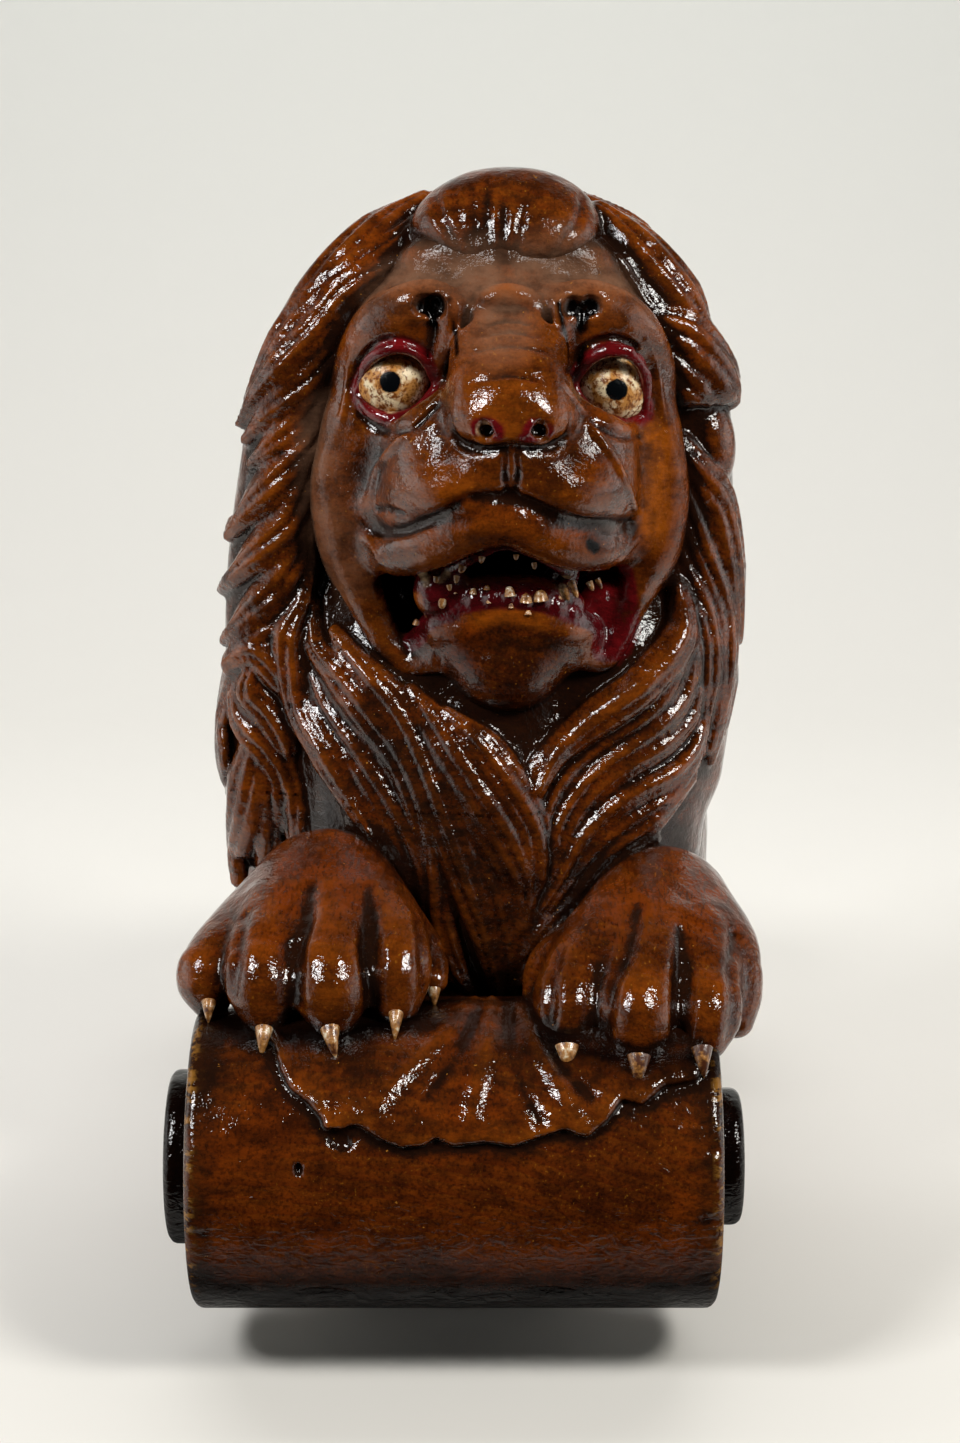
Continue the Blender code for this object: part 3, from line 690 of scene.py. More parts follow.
def body_forms(wood):
    roll(wood, [(2, 165, 172), (0, 230, 158), (0, 320, 140), (0, 390, 122)], [74, 70, 62, 56], blend=10)
    egg(wood, (0, 300, 92), (60, 130, 36), blend=8)
    for side in (-1, 1):
        egg(wood, (side * 56, 366, 112), (34, 62, 60), (0, 0, side * 6), blend=12)
        roll(wood, [(side * 62, 345, 84), (side * 76, 290, 76), (side * 78, 235, 78)], [24, 17, 17], blend=8)
        fore_leg = [(side * 70 + 7, 150, 120), (side * 67 + 11, 95, 138), (side * 65 + 15, 56, 150)]
        roll(wood, fore_leg, [36, 31, 22], blend=10)
        egg(wood, (side * 68 + 6, 165, 165), (34, 50, 62), blend=14)
    tail = [(0, 425, 120), (30, 446, 84), (76, 430, 76), (98, 375, 80), (98, 315, 96)]
    roll(wood, tail, [13, 10, 9, 9, 14], blend=3)


carve("body_legs_and_tail", (-118, 20, 40), (122, 466, 262), BODY_CELL, [body_forms], 0.42)

# The head: one rounded mass, cut back to deep sockets, a heavy muzzle and an open mouth, with the brows
# left standing as two arched rolls.


def mouth_corners(wood):
    """The deep hollows behind the teeth at both corners of the open mouth."""
    eggs(wood, (
        ((402, 604, 86), (9.5, 22, 14), -16, 2),
        ((596, 602, 78), (11.5, 15, 12.5), 14, 2)), away=True)


def head_forms(wood):
    # Skull, forehead with a shallow hollow over each brow, cheek rims and the bones under the eyes
    eggs(wood, (
        ((502, 450, 116), (58, 50, 84), 0, 8),
        ((506, 304, 112), (55, 44, 40), 0, 10),
        ((506, 264, 88), (40, 18, 16), 0, 10),
        ((506, 276, 88), (30, 12, 9), 0, 8)))
    for u in (430, 574):
        egg(wood, seen(u, 258, 60), (22, 12, 13), blend=12, away=True)
    rolls(wood, (
        (((360, 392, 88), (344, 455, 87), (341, 490, 87), (349, 530, 86), (360, 566, 84)),
         (8, 8, 8.5, 8.5, 8), 8),
        (((647, 398, 86), (653, 445, 86), (655, 486, 86), (648, 524, 85), (640, 556, 83)),
         (8, 8, 8.5, 8.5, 8), 8)))
    eggs(wood, (
        ((384, 424, 88), (22, 17, 17), 20, 8),
        ((622, 430, 88), (20, 17, 17), -20, 8),
        ((396, 372, 90), (24, 20, 24), 0, 8),
        ((612, 376, 90), (24, 20, 24), 0, 8)))
    # Brows: swelling bands over each eye
    eggs(wood, (
        ((408, 328, 88), (22.5, 28, 19), -22, 8),
        ((598, 329, 88), (22.5, 28, 19), 22, 8)))
    rolls(wood, (
        (((452, 318, 68), (437, 302, 64), (415, 303, 64), (392, 314, 68), (370, 334, 76), (358, 362, 85),
         (352, 396, 94)), (6, 8, 8.5, 8.5, 8, 7, 5), 6),
        (((556, 318, 68), (570, 303, 64), (592, 302, 64), (618, 312, 68), (640, 332, 76), (653, 362, 85),
         (657, 396, 94)), (6, 8, 8.5, 8.5, 8, 7, 5), 6)))
    # Broad bridge of the nose, its bulb and wings
    rolls(wood, (
        (((489, 306, 72), (486, 345, 62), (490, 385, 47)), (11, 13.5, 16), 9),
        (((525, 306, 72), (529, 345, 62), (529, 385, 47)), (11, 13.5, 16), 11)))
    eggs(wood, (
        ((510, 402, 41), (21, 19, 13), 0, 9),
        ((484, 420, 34), (12, 11, 8), 0, 8),
        ((540, 420, 34), (12, 11, 8), 0, 8),
        ((512, 430, 30), (9, 9, 6.5), 0, 6)))
    # Muzzle: broad and flat in front, parted by the philtrum, with a rolled lip below its arched crease
    eggs(wood, (
        ((438, 438, 66), (20, 26, 20), -35, 12),
        ((584, 440, 66), (20, 26, 20), 35, 12),
        ((467, 476, 67), (32, 41, 19), -8, 12),
        ((555, 478, 67), (31, 41, 19), 8, 12),
        ((418, 502, 78), (17, 30, 15), 0, 10),
        ((592, 503, 78), (16.5, 30, 15), 0, 10),
        ((511, 455, 47), (22, 20, 9), 0, 8)))
    lip = line_seen((380, 548, 80), (400, 552, 63), (430, 544, 51), (462, 530, 43), (490, 521, 39),
                    (515, 521, 39), (545, 534, 42), (572, 544, 48), (600, 546, 60), (627, 538, 78))
    roll(wood, lip, [7, 9.5, 10, 10, 10, 10, 10, 10, 9.5, 7], blend=4)
    crease = ((378, 534), (410, 530), (446, 512), (467, 500), (494, 497), (523, 500), (551, 511), (580, 520),
              (630, 523))
    score(wood, crease, [0.5, 1.0, 1.4, 1.7, 1.7, 1.7, 1.4, 1.0, 0.5], rise=0.2, blend=3.5)
    score(wood, ((374, 508), (388, 510), (404, 514)), [0.8, 1.6, 0.8])
    for side in (((506, 452), (505, 472), (507, 492)), ((516, 452), (518, 472), (515, 492))):
        score(wood, side, [0.7, 1.0, 0.8], rise=0.2)
    round_the_nose = ((450, 418), (456, 436), (472, 447), (494, 449), (511, 445), (530, 449), (550, 446),
                      (566, 434), (572, 416))
    score(wood, round_the_nose, [0.3, 0.9, 1.1, 0.9, 0.9, 0.9, 1.1, 0.9, 0.3], rise=0.2, blend=3)
    for edge in (((438, 400), (408, 432), (382, 464), (373, 508), (371, 538), (380, 562)),
                 ((562, 382), (582, 412), (602, 441), (618, 468), (633, 508), (633, 540), (620, 560))):
        score(wood, edge, [0.5, 1.4, 1.6, 1.6, 1.4, 0.5], rise=0.5, blend=1.6, away=False)
    for edge in (((354, 345), (349, 365), (347, 392), (341, 424), (331, 454), (329, 483), (335, 524),
                  (347, 568), (362, 606), (380, 636)),
                 ((646, 338), (656, 363), (661, 404), (667, 445), (670, 486), (662, 524), (652, 559),
                  (638, 597), (625, 622))):
        score(wood, edge, [0.5, 1.2, 1.4, 1.4, 1.4, 1.2, 0.5], rise=0.1, blend=1.5, away=False)
    # Cheeks stretched beside the open mouth
    eggs(wood, (
        ((372, 505, 93), (23, 21, 42), 0, 12),
        ((632, 505, 92), (22, 21, 42), 0, 12)))
    # Open mouth: the throat and the two deep corners are cut away, then gums and lower jaw stand in it
    throat = line_seen((388, 592, 82), (420, 588, 66), (460, 577, 54), (507, 564, 46), (552, 577, 54),
                       (590, 589, 66), (616, 588, 82))
    roll(wood, throat, [10, 8, 8, 7, 8, 8, 10], blend=2, away=True)
    egg(wood, seen(507, 568, 66), (17, 34, 8), blend=2, away=True)
    mouth_corners(wood)
    rolls(wood, (
        (((360, 556, 84), (364, 590, 82), (377, 622, 80), (391, 648, 79), (412, 664, 77), (436, 660, 71)),
         (8, 7.5, 7, 6.5, 6, 5), 5),
        (((641, 550, 83), (635, 585, 80), (627, 612, 79), (617, 638, 78), (602, 658, 76), (580, 656, 70)),
         (8, 7.5, 6.5, 6, 6, 5), 5)))
    eggs(wood, (
        ((600, 606, 88), (16, 14, 14), 0, 3),
        ((436, 590, 66), (9, 10, 11), 0, 4),
        ((452, 584, 64), (7, 8, 8), 0, 4)))
    roll(wood, line_seen((572, 562, 66), (566, 588, 66), (562, 610, 68)), [4, 4, 5], blend=4)
    eggs(wood, (
        ((510, 642, 79), (35, 24, 13), 0, 5),
        ((507, 662, 76), (24, 26, 20), 0, 8),
        ((510, 628, 70), (34, 18, 8), 0, 5)))
    rolls(wood, (
        (((396, 658, 92), (424, 642, 78), (452, 628, 68)), (6, 6, 5), 5),
        (((612, 656, 92), (592, 642, 78), (562, 630, 68)), (6, 6, 5), 5),
        (((414, 646, 84), (432, 622, 71), (458, 605, 62), (500, 597, 57), (545, 601, 59), (580, 619, 68),
         (604, 644, 84)), (3.5, 4.5, 5, 5, 5, 4.5, 3.5), 2),
        (((440, 598, 66), (476, 587, 61), (510, 585, 59), (548, 589, 61), (574, 602, 66)),
         (4, 4.5, 4.5, 4.5, 4), 3),
        (((444, 628, 67), (480, 617, 59), (512, 615, 56), (550, 621, 59), (584, 635, 69)),
         (5, 5.5, 5.5, 5.5, 5), 5),
        (((448, 570, 60), (474, 557, 53), (505, 546, 50), (540, 557, 53), (568, 572, 60)),
         (2.8, 2.4, 1.6, 2.0, 2.8), 1)))
    for place in ((474, 601, 56), (491, 598, 54), (508, 596, 53), (525, 600, 53), (542, 601, 55),
                  (557, 607, 57), (572, 614, 61), (436, 600, 62)):
        egg(wood, seen(*place), (2.9, 3.2, 3.8), blend=1.2)
    for place in ((402, 676, 84), (430, 690, 86), (598, 684, 84), (574, 694, 84)):
        egg(wood, seen(*place), (6, 10, 4), blend=3, away=True)
    for u, lean in ((486, 18), (539, -18)):
        (spot,), _ = laid(wood, ((u, 430),))
        egg(wood, spot, (4.6, 3.6, 3.6), (0, lean, 0), blend=1, away=True)
        rim = [(u + 12 * math.cos(a), 431 + 10 * math.sin(a)) for a in (k * math.pi / 4 for k in range(9))]
        score(wood, rim, 1.2, rise=0.3, blend=1.5, away=False)
    # Sockets, then lids that stand up round the eyeballs
    for u, v in ((394, 385), (612, 390)):
        egg(wood, seen(u, v, 64), (16, 14, 13), blend=5, away=True)
    for lid in LEFT_LIDS + RIGHT_LIDS:
        roll(wood, line_seen(*lid), [1.8, 2.4, 2.8, 2.8, 2.4, 1.8], blend=1.5)
    for fold in (((350, 388), (364, 356), (386, 340), (414, 344), (440, 366)),
                 ((358, 414), (382, 430), (410, 429), (438, 406)),
                 ((566, 372), (586, 346), (612, 338), (634, 346), (652, 372)),
                 ((578, 406), (596, 424), (620, 436), (640, 436))):
        score(wood, fold, [0.6, 1.2, 1.4, 1.2, 0.6], rise=0.3)
    # Inner strips of the brows, the grooves beside them, and a notch with a tail in each brow
    rolls(wood, (
        (((455, 306, 60), (450, 330, 62), (442, 352, 66), (436, 374, 70)), (3.5, 4.2, 4, 3), 2.5),
        (((556, 306, 60), (559, 330, 62), (564, 350, 66), (568, 370, 70)), (3.5, 4.2, 4, 3), 2.5)))
    rolls(wood, (
        (((468, 306, 56), (466, 330, 58), (456, 356, 60), (446, 384, 62)), (1.2, 1.8, 1.8, 1), 3),
        (((546, 306, 56), (549, 330, 58), (557, 354, 60), (566, 378, 62)), (1.2, 1.8, 1.8, 1), 3)), away=True)
    for u, v in ((424, 306), (435, 306), (573, 308), (591, 307)):
        (spot,), (out,) = laid(wood, ((u, v),))
        egg(wood, spot + 0.4 * out, (4.8, 4.2, 5.0), blend=0.5, away=True)
    score(wood, ((430, 310), (436, 326)), [2.4, 0.8], rise=0.8, blend=0.6)
    score(wood, ((582, 312), (581, 332)), [3.0, 0.8], rise=0.8, blend=0.6)
    roll(wood, line_seen((477, 311, 66), (490, 300, 61), (507, 296, 60), (526, 300, 61), (541, 311, 66)),
         [3.5, 4.6, 5, 4.6, 3.5], blend=1.5)
    for v, half in ((323, 24), (334, 30), (348, 34), (378, 30)):
        wrinkle = ((509 - half, v + 4), (509, v - 2), (509 + half, v + 4))
        score(wood, wrinkle, [0.4, 0.8, 0.4], rise=0.35, blend=1.5)


LEFT_LIDS = (
    ((359, 392, 77), (366, 365, 69), (382, 351, 63), (401, 347, 61), (420, 355, 63), (434, 376, 69)),
    ((358, 392, 77), (368, 409, 70), (384, 418, 66), (404, 417, 65), (420, 408, 66), (435, 388, 69)))
RIGHT_LIDS = (
    ((573, 384, 69), (590, 360, 63), (612, 350, 60), (634, 356, 62), (646, 378, 67), (645, 414, 73)),
    ((573, 384, 69), (583, 404, 66), (598, 416, 65), (614, 422, 66), (630, 426, 69), (643, 418, 74)))
head = carve("head", (-62, 0, 210), (104, 128, 436), CELL, [head_forms], 0.66)
head_wood = carved[-1][1]

# The eyes: balls left standing in the sockets, painted cream with a black pupil. The paint is crackled.
eye_paint, tree, place = new_material("crackled_cream_eye_paint")
crazed = noise(tree, place, 500.0, 5.0, Roughness=0.7)
blotch = noise(tree, place, 180.0, 3.0)
edge = sums(tree, "ADD", painted_on(tree, "gaze"), ramp(tree, crazed, 0.3, 0.7, -0.5, 0.5))
colour = layered(tree, mixed(tree, ramp(tree, blotch, 0.42, 0.55), linear("#f4dfb6"), linear("#c68a48")),
                 (ramp(tree, crazed, 0.49, 0.58), "#7a4218"),
                 (ramp(tree, edge, 13.5, 15.0), "#3a0a0c"),
                 (ramp(tree, edge, 4.4, 3.9), "#07090c"))
bumps = add(tree, "ShaderNodeBump", Height=crazed, Strength=0.4, Distance=0.0006).outputs[0]
close_material(tree, Base_Color=colour, Roughness=0.4, Normal=bumps, Specular_IOR_Level=0.0, Coat_Weight=0.6,
               Coat_Roughness=0.15, Coat_Normal=bumps)


def keep_on(mesh, name, kind, field, values):
    """Keep a value for every point of a mesh on it."""
    kept = mesh.attributes.new(name, kind, "POINT")
    kept.data.foreach_set(field, np.asarray(values, np.float32).ravel())


EYEBALL = (14.5, 14, 15)


def ball(name, centre, looks_at):
    """An eyeball, with the distance of every point from the pupil's middle kept on it."""
    centre, looks_at = seen(*centre), seen(*looks_at)
    shell = bmesh.new()
    bmesh.ops.create_icosphere(shell, subdivisions=5, radius=1)
    points = np.array([v.co[:] for v in shell.verts]) * EYEBALL + centre
    faces = np.array([[v.index for v in f.verts] for f in shell.faces])
    shell.free()
    eye = as_mesh(name, points, faces, eye_paint)
    far = np.linalg.norm((points - looks_at)[:, [0, 2]], axis=1) + np.where(points[:, 1] > centre[1], 20, 0)
    keep_on(eye.data, "gaze", "FLOAT", "value", far)
    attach(eye, "root")


ball("left_eye", (395, 382, 77), (390, 382, 63))
ball("right_eye", (613, 388, 77), (617, 390, 63))

# The mane: thick locks laid over a ruff round the face, down the neck and the nape, and long fluted locks
# on the chest. Each lock is a flattened round form, cut with two or three flutes along it.


def mane_mass(wood):
    eggs(wood, (
        ((507, 300, 142), (62, 60, 46), 0, 10),
        ((494, 420, 150), (82, 64, 74), 0, 14),
        ((482, 600, 146), (84, 62, 90), 0, 14)))
    rolls(wood, (
        (((436, 252, 118), (368, 288, 114), (308, 372, 114), (293, 462, 116), (282, 562, 116),
         (280, 662, 116), (294, 770, 116)), (18, 20, 21, 21, 22, 22, 20), 10),
        (((588, 256, 118), (644, 292, 114), (678, 372, 114), (685, 462, 116), (687, 562, 116),
         (688, 662, 116), (676, 760, 118)), (18, 18, 19, 19, 19, 19, 18), 10)))
    eggs(wood, (
        ((510, 224, 114), (33, 40, 19), 0, 6),
        ((264, 780, 112), (12, 18, 42), 0, 8)))


def chest_mass(wood):
    rolls(wood, (
        (((495, 650, 118), (488, 780, 108), (500, 900, 104)), (50, 50, 46), 14),
        (((400, 660, 118), (395, 820, 108)), (44, 42), 14),
        (((610, 660, 118), (600, 830, 110)), (44, 42), 14)))


NECK_MIDDLE, NECK_DEPTH, NECK_LOW, NECK_HIGH = 8, 140.0, 130, 345


def settle(points, lift):
    """Lay points on the neck's mass, on the lines that run out to them from its core."""
    settled, outward = [], []
    steps = np.arange(150, 0, -1.0)
    for point in points:
        sideways = NECK_MIDDLE + 0.25 * (point[0] - NECK_MIDDLE)
        core = np.array([sideways, NECK_DEPTH, min(max(point[2], NECK_LOW), NECK_HIGH)])
        out = (point - core) / np.linalg.norm(point - core)
        first = int(np.argmax(depth_at(neck_mass, core + out * steps[:, None]) < 0))
        settled.append(core + out * (steps[first] + lift))
        outward.append(out)
    return np.array(settled), np.array(outward)


def lock(wood, points, outward, half_widths, heights, flutes, flute_depth, phase):
    """A lock of hair: a flattened form along a line, fluted along its length."""
    line, index = smooth_line(points, 4.0)
    half = along(half_widths, index, len(points))
    high = along(heights, index, len(points))
    out = np.stack([along(outward[:, n], index, len(points)) for n in range(3)], 1)
    way = np.gradient(line, axis=0)
    way /= np.linalg.norm(way, axis=1)[:, None]
    out -= (out * way).sum(1)[:, None] * way
    out /= np.linalg.norm(out, axis=1)[:, None]
    across = np.cross(way, out)
    pad = max(half.max(), high.max()) + 5
    cuts = wood.window(line.min(0) - pad, line.max(0) + pad)
    form = np.full([c.stop - c.start for c in cuts], FAR, np.float32)
    nearest = np.full(form.shape, 1e9, np.float32)
    for k, inner, t, x, y, z in steps_along(wood, line, cuts, pad):
        off = x * x + y * y + z * z
        closer = off < nearest[inner]
        if not closer.any():
            continue
        side, rise, over = (x * axis[k][0] + y * axis[k][1] + z * axis[k][2] for axis in (across, out, way))
        a = half[k] + (half[k + 1] - half[k]) * t
        b = high[k] + (high[k + 1] - high[k]) * t
        flute = 1 - np.abs(np.sin(np.pi * (flutes * (np.clip(side / a, -1.2, 1.2) + 1) / 2 + phase)))
        top = np.maximum(b - flute_depth * np.minimum(1, b / 6) * flute ** 1.6, 0.5)
        small = np.minimum(a, b)
        shell = (np.sqrt((side / a) ** 2 + (rise / top) ** 2 + (over / small) ** 2) - 1) * small
        nearest[inner] = np.where(closer, off, nearest[inner])
        form[inner] = np.where(closer, shell, form[inner])
    wood.work(cuts, np.minimum(form, FAR), 1.0)


def tapered(share, root, tip, steepness):
    """How thick a lock is along its length, from its share at the root to its share at the tip."""
    return (np.minimum(1, root + (1 - root) * share * 4)
            * np.minimum(1, tip + (1 - tip) * (1 - share) * steepness))


def fan(wood, first, last, count):
    """A group of waving locks that share out the space between two guide lines laid on the neck."""
    share = np.linspace(0, 1, 9)
    guides = []
    for guide in (first, last):
        line, _ = smooth_line(guide, 4.0)
        at = np.linspace(0, 1, len(line))
        guides.append(np.stack([np.interp(share, at, line[:, n]) for n in range(3)], 1))
    start, end = guides
    span = np.linalg.norm(end - start, axis=1)[:, None]
    sideways = (end - start) / (span + 1e-9)
    taper = tapered(share, 0.5, 0.25, 3.5)
    half_widths = np.maximum(0.56 * span[:, 0] / (count - 1), 5.0) * taper
    heights = np.minimum(10, half_widths * 0.95) * (0.6 + 0.4 * taper)
    for n in range(count):
        f = n / (count - 1)
        sway = 3.0 * np.sin(2 * np.pi * (share + 0.31 * n)) * np.sin(np.pi * np.minimum(1, share * 1.5 + 0.1))
        points, outward = settle(start * (1 - f) + end * f + sideways * sway[:, None], 1.0)
        lock(wood, points, outward, half_widths, heights, flutes=3, flute_depth=2.4, phase=0.5 * (n % 2))


def tresses(wood, locks, wider, higher, flutes=3, flute_depth=1.6, root=0.6, tip=0.3):
    """Locks over the neck, thinner at root and tip: half width, height and picture points of each."""
    for half, height, *places in locks:
        line, _ = smooth_line([(u, v, 0) for u, v in places], 24.0)
        points, outward = laid(neck_mass, line[:, :2])
        taper = tapered(np.linspace(0, 1, len(points)), root, tip, 3.2)
        heights = height * higher * (0.55 + 0.45 * taper)
        lock(wood, points + 0.5 * outward, outward, half * wider * taper, heights, flutes, flute_depth, 0.25)


# Locks of hair: half width and height in mm, then picture points from root to tip. First the broad locks of
# the left crown, swept back from the brow to the outline
LEFT_CROWN = (
    (8, 8, (424, 204), (378, 229), (338, 266), (312, 300), (294, 326), (280, 350)),
    (7, 8, (420, 226), (398, 245), (354, 273), (313, 305), (284, 342), (266, 374), (254, 398)),
    (6.5, 10, (404, 262), (372, 276), (344, 296), (313, 334), (285, 366), (262, 398), (248, 424)),
    (7, 8, (376, 286), (352, 318), (334, 352), (305, 384), (276, 408), (250, 440)),
    (7, 7, (340, 346), (322, 392), (300, 424), (276, 446), (254, 464)),
    (7.5, 9, (330, 396), (312, 442), (285, 475), (258, 505), (234, 536)),
    (7.5, 9, (320, 436), (305, 485), (288, 525), (256, 558), (226, 590)),
    (7.5, 8, (312, 500), (302, 545), (280, 588), (252, 616), (228, 640)),
    (5, 8, (354, 318), (334, 360), (319, 412), (313, 469), (305, 525), (306, 575), (300, 606), (292, 634)),
    (6.5, 7, (302, 590), (278, 618), (250, 640), (230, 660)))

# Left shoulder: hooked tufts over the fluted fall of hair behind them
LEFT_SHOULDER = (
    (8, 6, (236, 668), (226, 712), (224, 745), (232, 780), (246, 802)),
    (6.5, 9, (234, 664), (256, 650), (272, 664), (286, 684), (296, 704)),
    (6.5, 9, (258, 664), (254, 690), (270, 712), (288, 742), (296, 764)),
    (6.5, 8, (240, 690), (246, 720), (264, 745), (286, 775), (300, 806), (306, 836)),
    (8, 7, (254, 744), (248, 780), (244, 815), (240, 850), (240, 880)),
    (7, 7, (268, 752), (276, 795), (274, 835), (262, 872)),
    (7, 7, (292, 790), (300, 825), (304, 862)))

# Right crown, and the fall of hair beside the right cheek
RIGHT_CROWN = (
    (8, 9, (598, 216), (630, 240), (660, 270), (690, 310), (702, 336)),
    (6, 9, (594, 244), (626, 281), (655, 320), (668, 346)),
    (9, 10, (650, 314), (684, 334), (708, 362), (722, 388), (727, 402)),
    (8, 9, (656, 344), (676, 366), (694, 388), (706, 400)),
    (7.5, 9, (680, 444), (700, 476), (714, 500), (722, 536), (728, 590), (732, 640)),
    (7, 8, (674, 440), (684, 490), (700, 545), (716, 600), (720, 650), (716, 700), (704, 748)),
    (6.5, 8, (674, 510), (684, 565), (700, 610), (706, 660), (700, 710), (696, 752)),
    (6, 7, (666, 470), (668, 530), (676, 580), (686, 630), (690, 680), (690, 730)),
    (7, 6, (724, 640), (722, 680), (714, 720), (708, 760)))

# Left of the chest: long locks that fall from the jaw to its middle, the outer ones over the shoulder
LEFT_CHEST = (
    (5.5, 12, (306, 566), (301, 603), (291, 634), (296, 668), (308, 708), (328, 745), (350, 789), (374, 833)),
    (6, 10, (316, 604), (320, 645), (342, 672), (372, 714), (402, 756), (422, 800), (434, 850), (440, 905)),
    (6, 8, (308, 650), (330, 705), (358, 750), (386, 795), (410, 840), (426, 890), (432, 940)),
    (6, 10, (338, 632), (352, 654), (376, 684), (404, 722), (426, 768), (446, 820), (464, 870), (484, 930),
     (498, 985)),
    (6, 8, (378, 680), (398, 698), (424, 728), (452, 772), (482, 818), (506, 866), (516, 920)),
    (6.5, 10, (412, 690), (444, 735), (478, 790), (508, 840), (524, 885), (520, 925)),
    (6, 10, (448, 712), (480, 745), (506, 785), (528, 826), (534, 872), (528, 900)),
    (6, 9, (400, 750), (424, 812), (434, 868), (440, 920), (456, 962), (476, 990)),
    (8, 7, (340, 770), (372, 816), (396, 860), (412, 900), (420, 950)),
    (5, 6, (500, 800), (520, 850), (526, 905), (520, 950), (510, 992)),
    (5, 6, (470, 840), (492, 890), (506, 940), (512, 992)))

# Right of the chest: locks that sweep down from beside the cheek to the same middle line
RIGHT_CHEST = (
    (6.5, 12, (676, 590), (674, 640), (648, 675), (626, 697), (584, 727), (551, 755), (534, 790)),
    (4.5, 8, (684, 620), (676, 664), (658, 700), (634, 724), (602, 746), (565, 775), (546, 806), (540, 844)),
    (4.5, 9, (688, 650), (680, 690), (664, 716), (640, 738), (608, 762), (577, 790), (556, 822), (548, 870)),
    (4.5, 9, (690, 690), (682, 718), (656, 746), (626, 766), (596, 790), (572, 820), (558, 850), (540, 892)),
    (5, 10, (692, 726), (684, 748), (664, 772), (634, 790), (604, 814), (580, 838), (562, 866), (534, 912)),
    (4.5, 9, (690, 752), (676, 778), (656, 800), (624, 822), (598, 844), (576, 868), (550, 900), (528, 936)),
    (4.5, 9, (684, 776), (650, 818), (620, 842), (594, 866), (570, 892), (540, 924), (524, 950)),
    (5, 9, (650, 836), (610, 866), (584, 892), (560, 916), (536, 944), (520, 976)),
    (5, 6, (560, 730), (542, 760), (528, 800), (534, 850), (530, 900), (522, 950), (516, 990)))


def mane_hair(wood):
    # Forelock: one swelling tuft, with shallow grooves that draw together at its tip
    egg(wood, seen(508, 224, 97), (34, 19, 22), (-30, 0, 0), blend=10)
    egg(wood, seen(500, 246, 84), (20, 13, 8), blend=10)
    egg(wood, seen(548, 236, 88), (17, 15, 10), blend=10)
    egg(wood, seen(456, 226, 92), (15, 15, 10), blend=10)
    for size, *groove in (
            (1.6, (434, 192), (443, 220), (458, 244)), (2.0, (452, 192), (459, 218), (473, 250)),
            (1.5, (472, 186), (474, 216), (484, 256)), (2.0, (487, 180), (487, 214), (492, 262)),
            (1.5, (503, 200), (503, 226), (502, 262)), (1.2, (524, 206), (520, 230), (512, 262)),
            (1.2, (582, 196), (578, 222), (554, 252))):
        score(wood, groove, [0.5, size, size, 0.6], rise=0.5 * size, blend=3)
    # A smooth ear under the right crown, then the locks
    egg(wood, seen(709, 440, 108), (10.5, 12, 20), (0, -8, 0), blend=1)
    tresses(wood, LEFT_CROWN + LEFT_SHOULDER + RIGHT_CROWN, 1.25, 0.8)


def nape_hair(wood):
    for first, last, count in (
            (((-4, 135, 440), (-40, 150, 419), (-62, 160, 364), (-74, 150, 314)),
             ((10, 150, 442), (-10, 195, 404), (-26, 212, 349), (-44, 206, 294)), 4),
            (((46, 135, 440), (80, 150, 414), (96, 160, 364), (100, 150, 314)),
             ((32, 150, 442), (50, 195, 404), (62, 210, 349), (74, 204, 294)), 4),
            (((-74, 130, 300), (-80, 152, 262), (-80, 170, 224)),
             ((8, 205, 334), (0, 214, 284), (-4, 212, 230)), 5),
            (((92, 130, 300), (96, 152, 262), (92, 170, 224)),
             ((24, 205, 334), (22, 214, 284), (22, 212, 230)), 5)):
        fan(wood, first, last, count)


def chest_hair(wood):
    tresses(wood, LEFT_CHEST, 1.6, 0.8, 3, 1.8, root=0.3, tip=0.4)
    tresses(wood, RIGHT_CHEST, 1.35, 0.9, 2, 1.5, tip=0.4)


MANE_CELL = 1.3 * CELL
CHEST_TOP = 196
neck_mass = worked((-116, 20, 118), (124, 226, 452), 3.0, [mane_mass, chest_mass])
mane = carve("mane", (-100, 40, CHEST_TOP), (122, 228, 450), MANE_CELL,
             [mane_mass, chest_mass, mouth_corners, mane_hair, nape_hair, chest_hair], 0.56)
chest = carve("chest_locks", (-100, 40, 118), (122, 160, CHEST_TOP + 6 * MANE_CELL), MANE_CELL,
              [mane_mass, chest_mass, mane_hair, chest_hair], 0.7)

# The fore paws: broad rounded backs that lie over the scroll, with toes that part only near their knuckles
# and curl down to the claws. Each toe is its picture places and radii, and each groove its picture points
# and sizes. Both paws have a small inner toe.
LEFT_TOES = (
    (((312, 898, 62), (256, 936, 38), (214, 966, 13), (208, 980, 8), (210, 998, 6)), (24, 18.5, 12.5, 12, 8)),
    (((320, 896, 60), (290, 930, 32), (265, 966, 1), (264, 984, -6), (265, 1011, -10)),
     (25, 23, 15, 14.5, 9.5)),
    (((330, 896, 60), (331, 930, 30), (331, 966, -3), (331, 986, -11), (333, 1013, -14)),
     (25, 23.5, 15.5, 15.5, 10)),
    (((338, 896, 60), (366, 928, 32), (393, 956, 5), (395, 976, -3), (396, 1000, -7)),
     (25, 22, 14, 13.5, 9.5)),
    (((350, 910, 56), (404, 940, 36), (430, 960, 24), (435, 980, 14)), (16, 12, 6.5, 5)))
LEFT_GROOVES = (
    (((246, 915), (238, 950), (232, 990)), (1.4, 3, 2.6)),
    (((311, 884), (305, 925), (298, 952), (297, 1000)), (1.4, 3.2, 3.4, 2.6)),
    (((369, 886), (371, 928), (367, 956), (370, 1000)), (1.4, 3.2, 3.4, 2.6)),
    (((418, 915), (422, 945), (424, 985)), (1.2, 2.2, 2)))
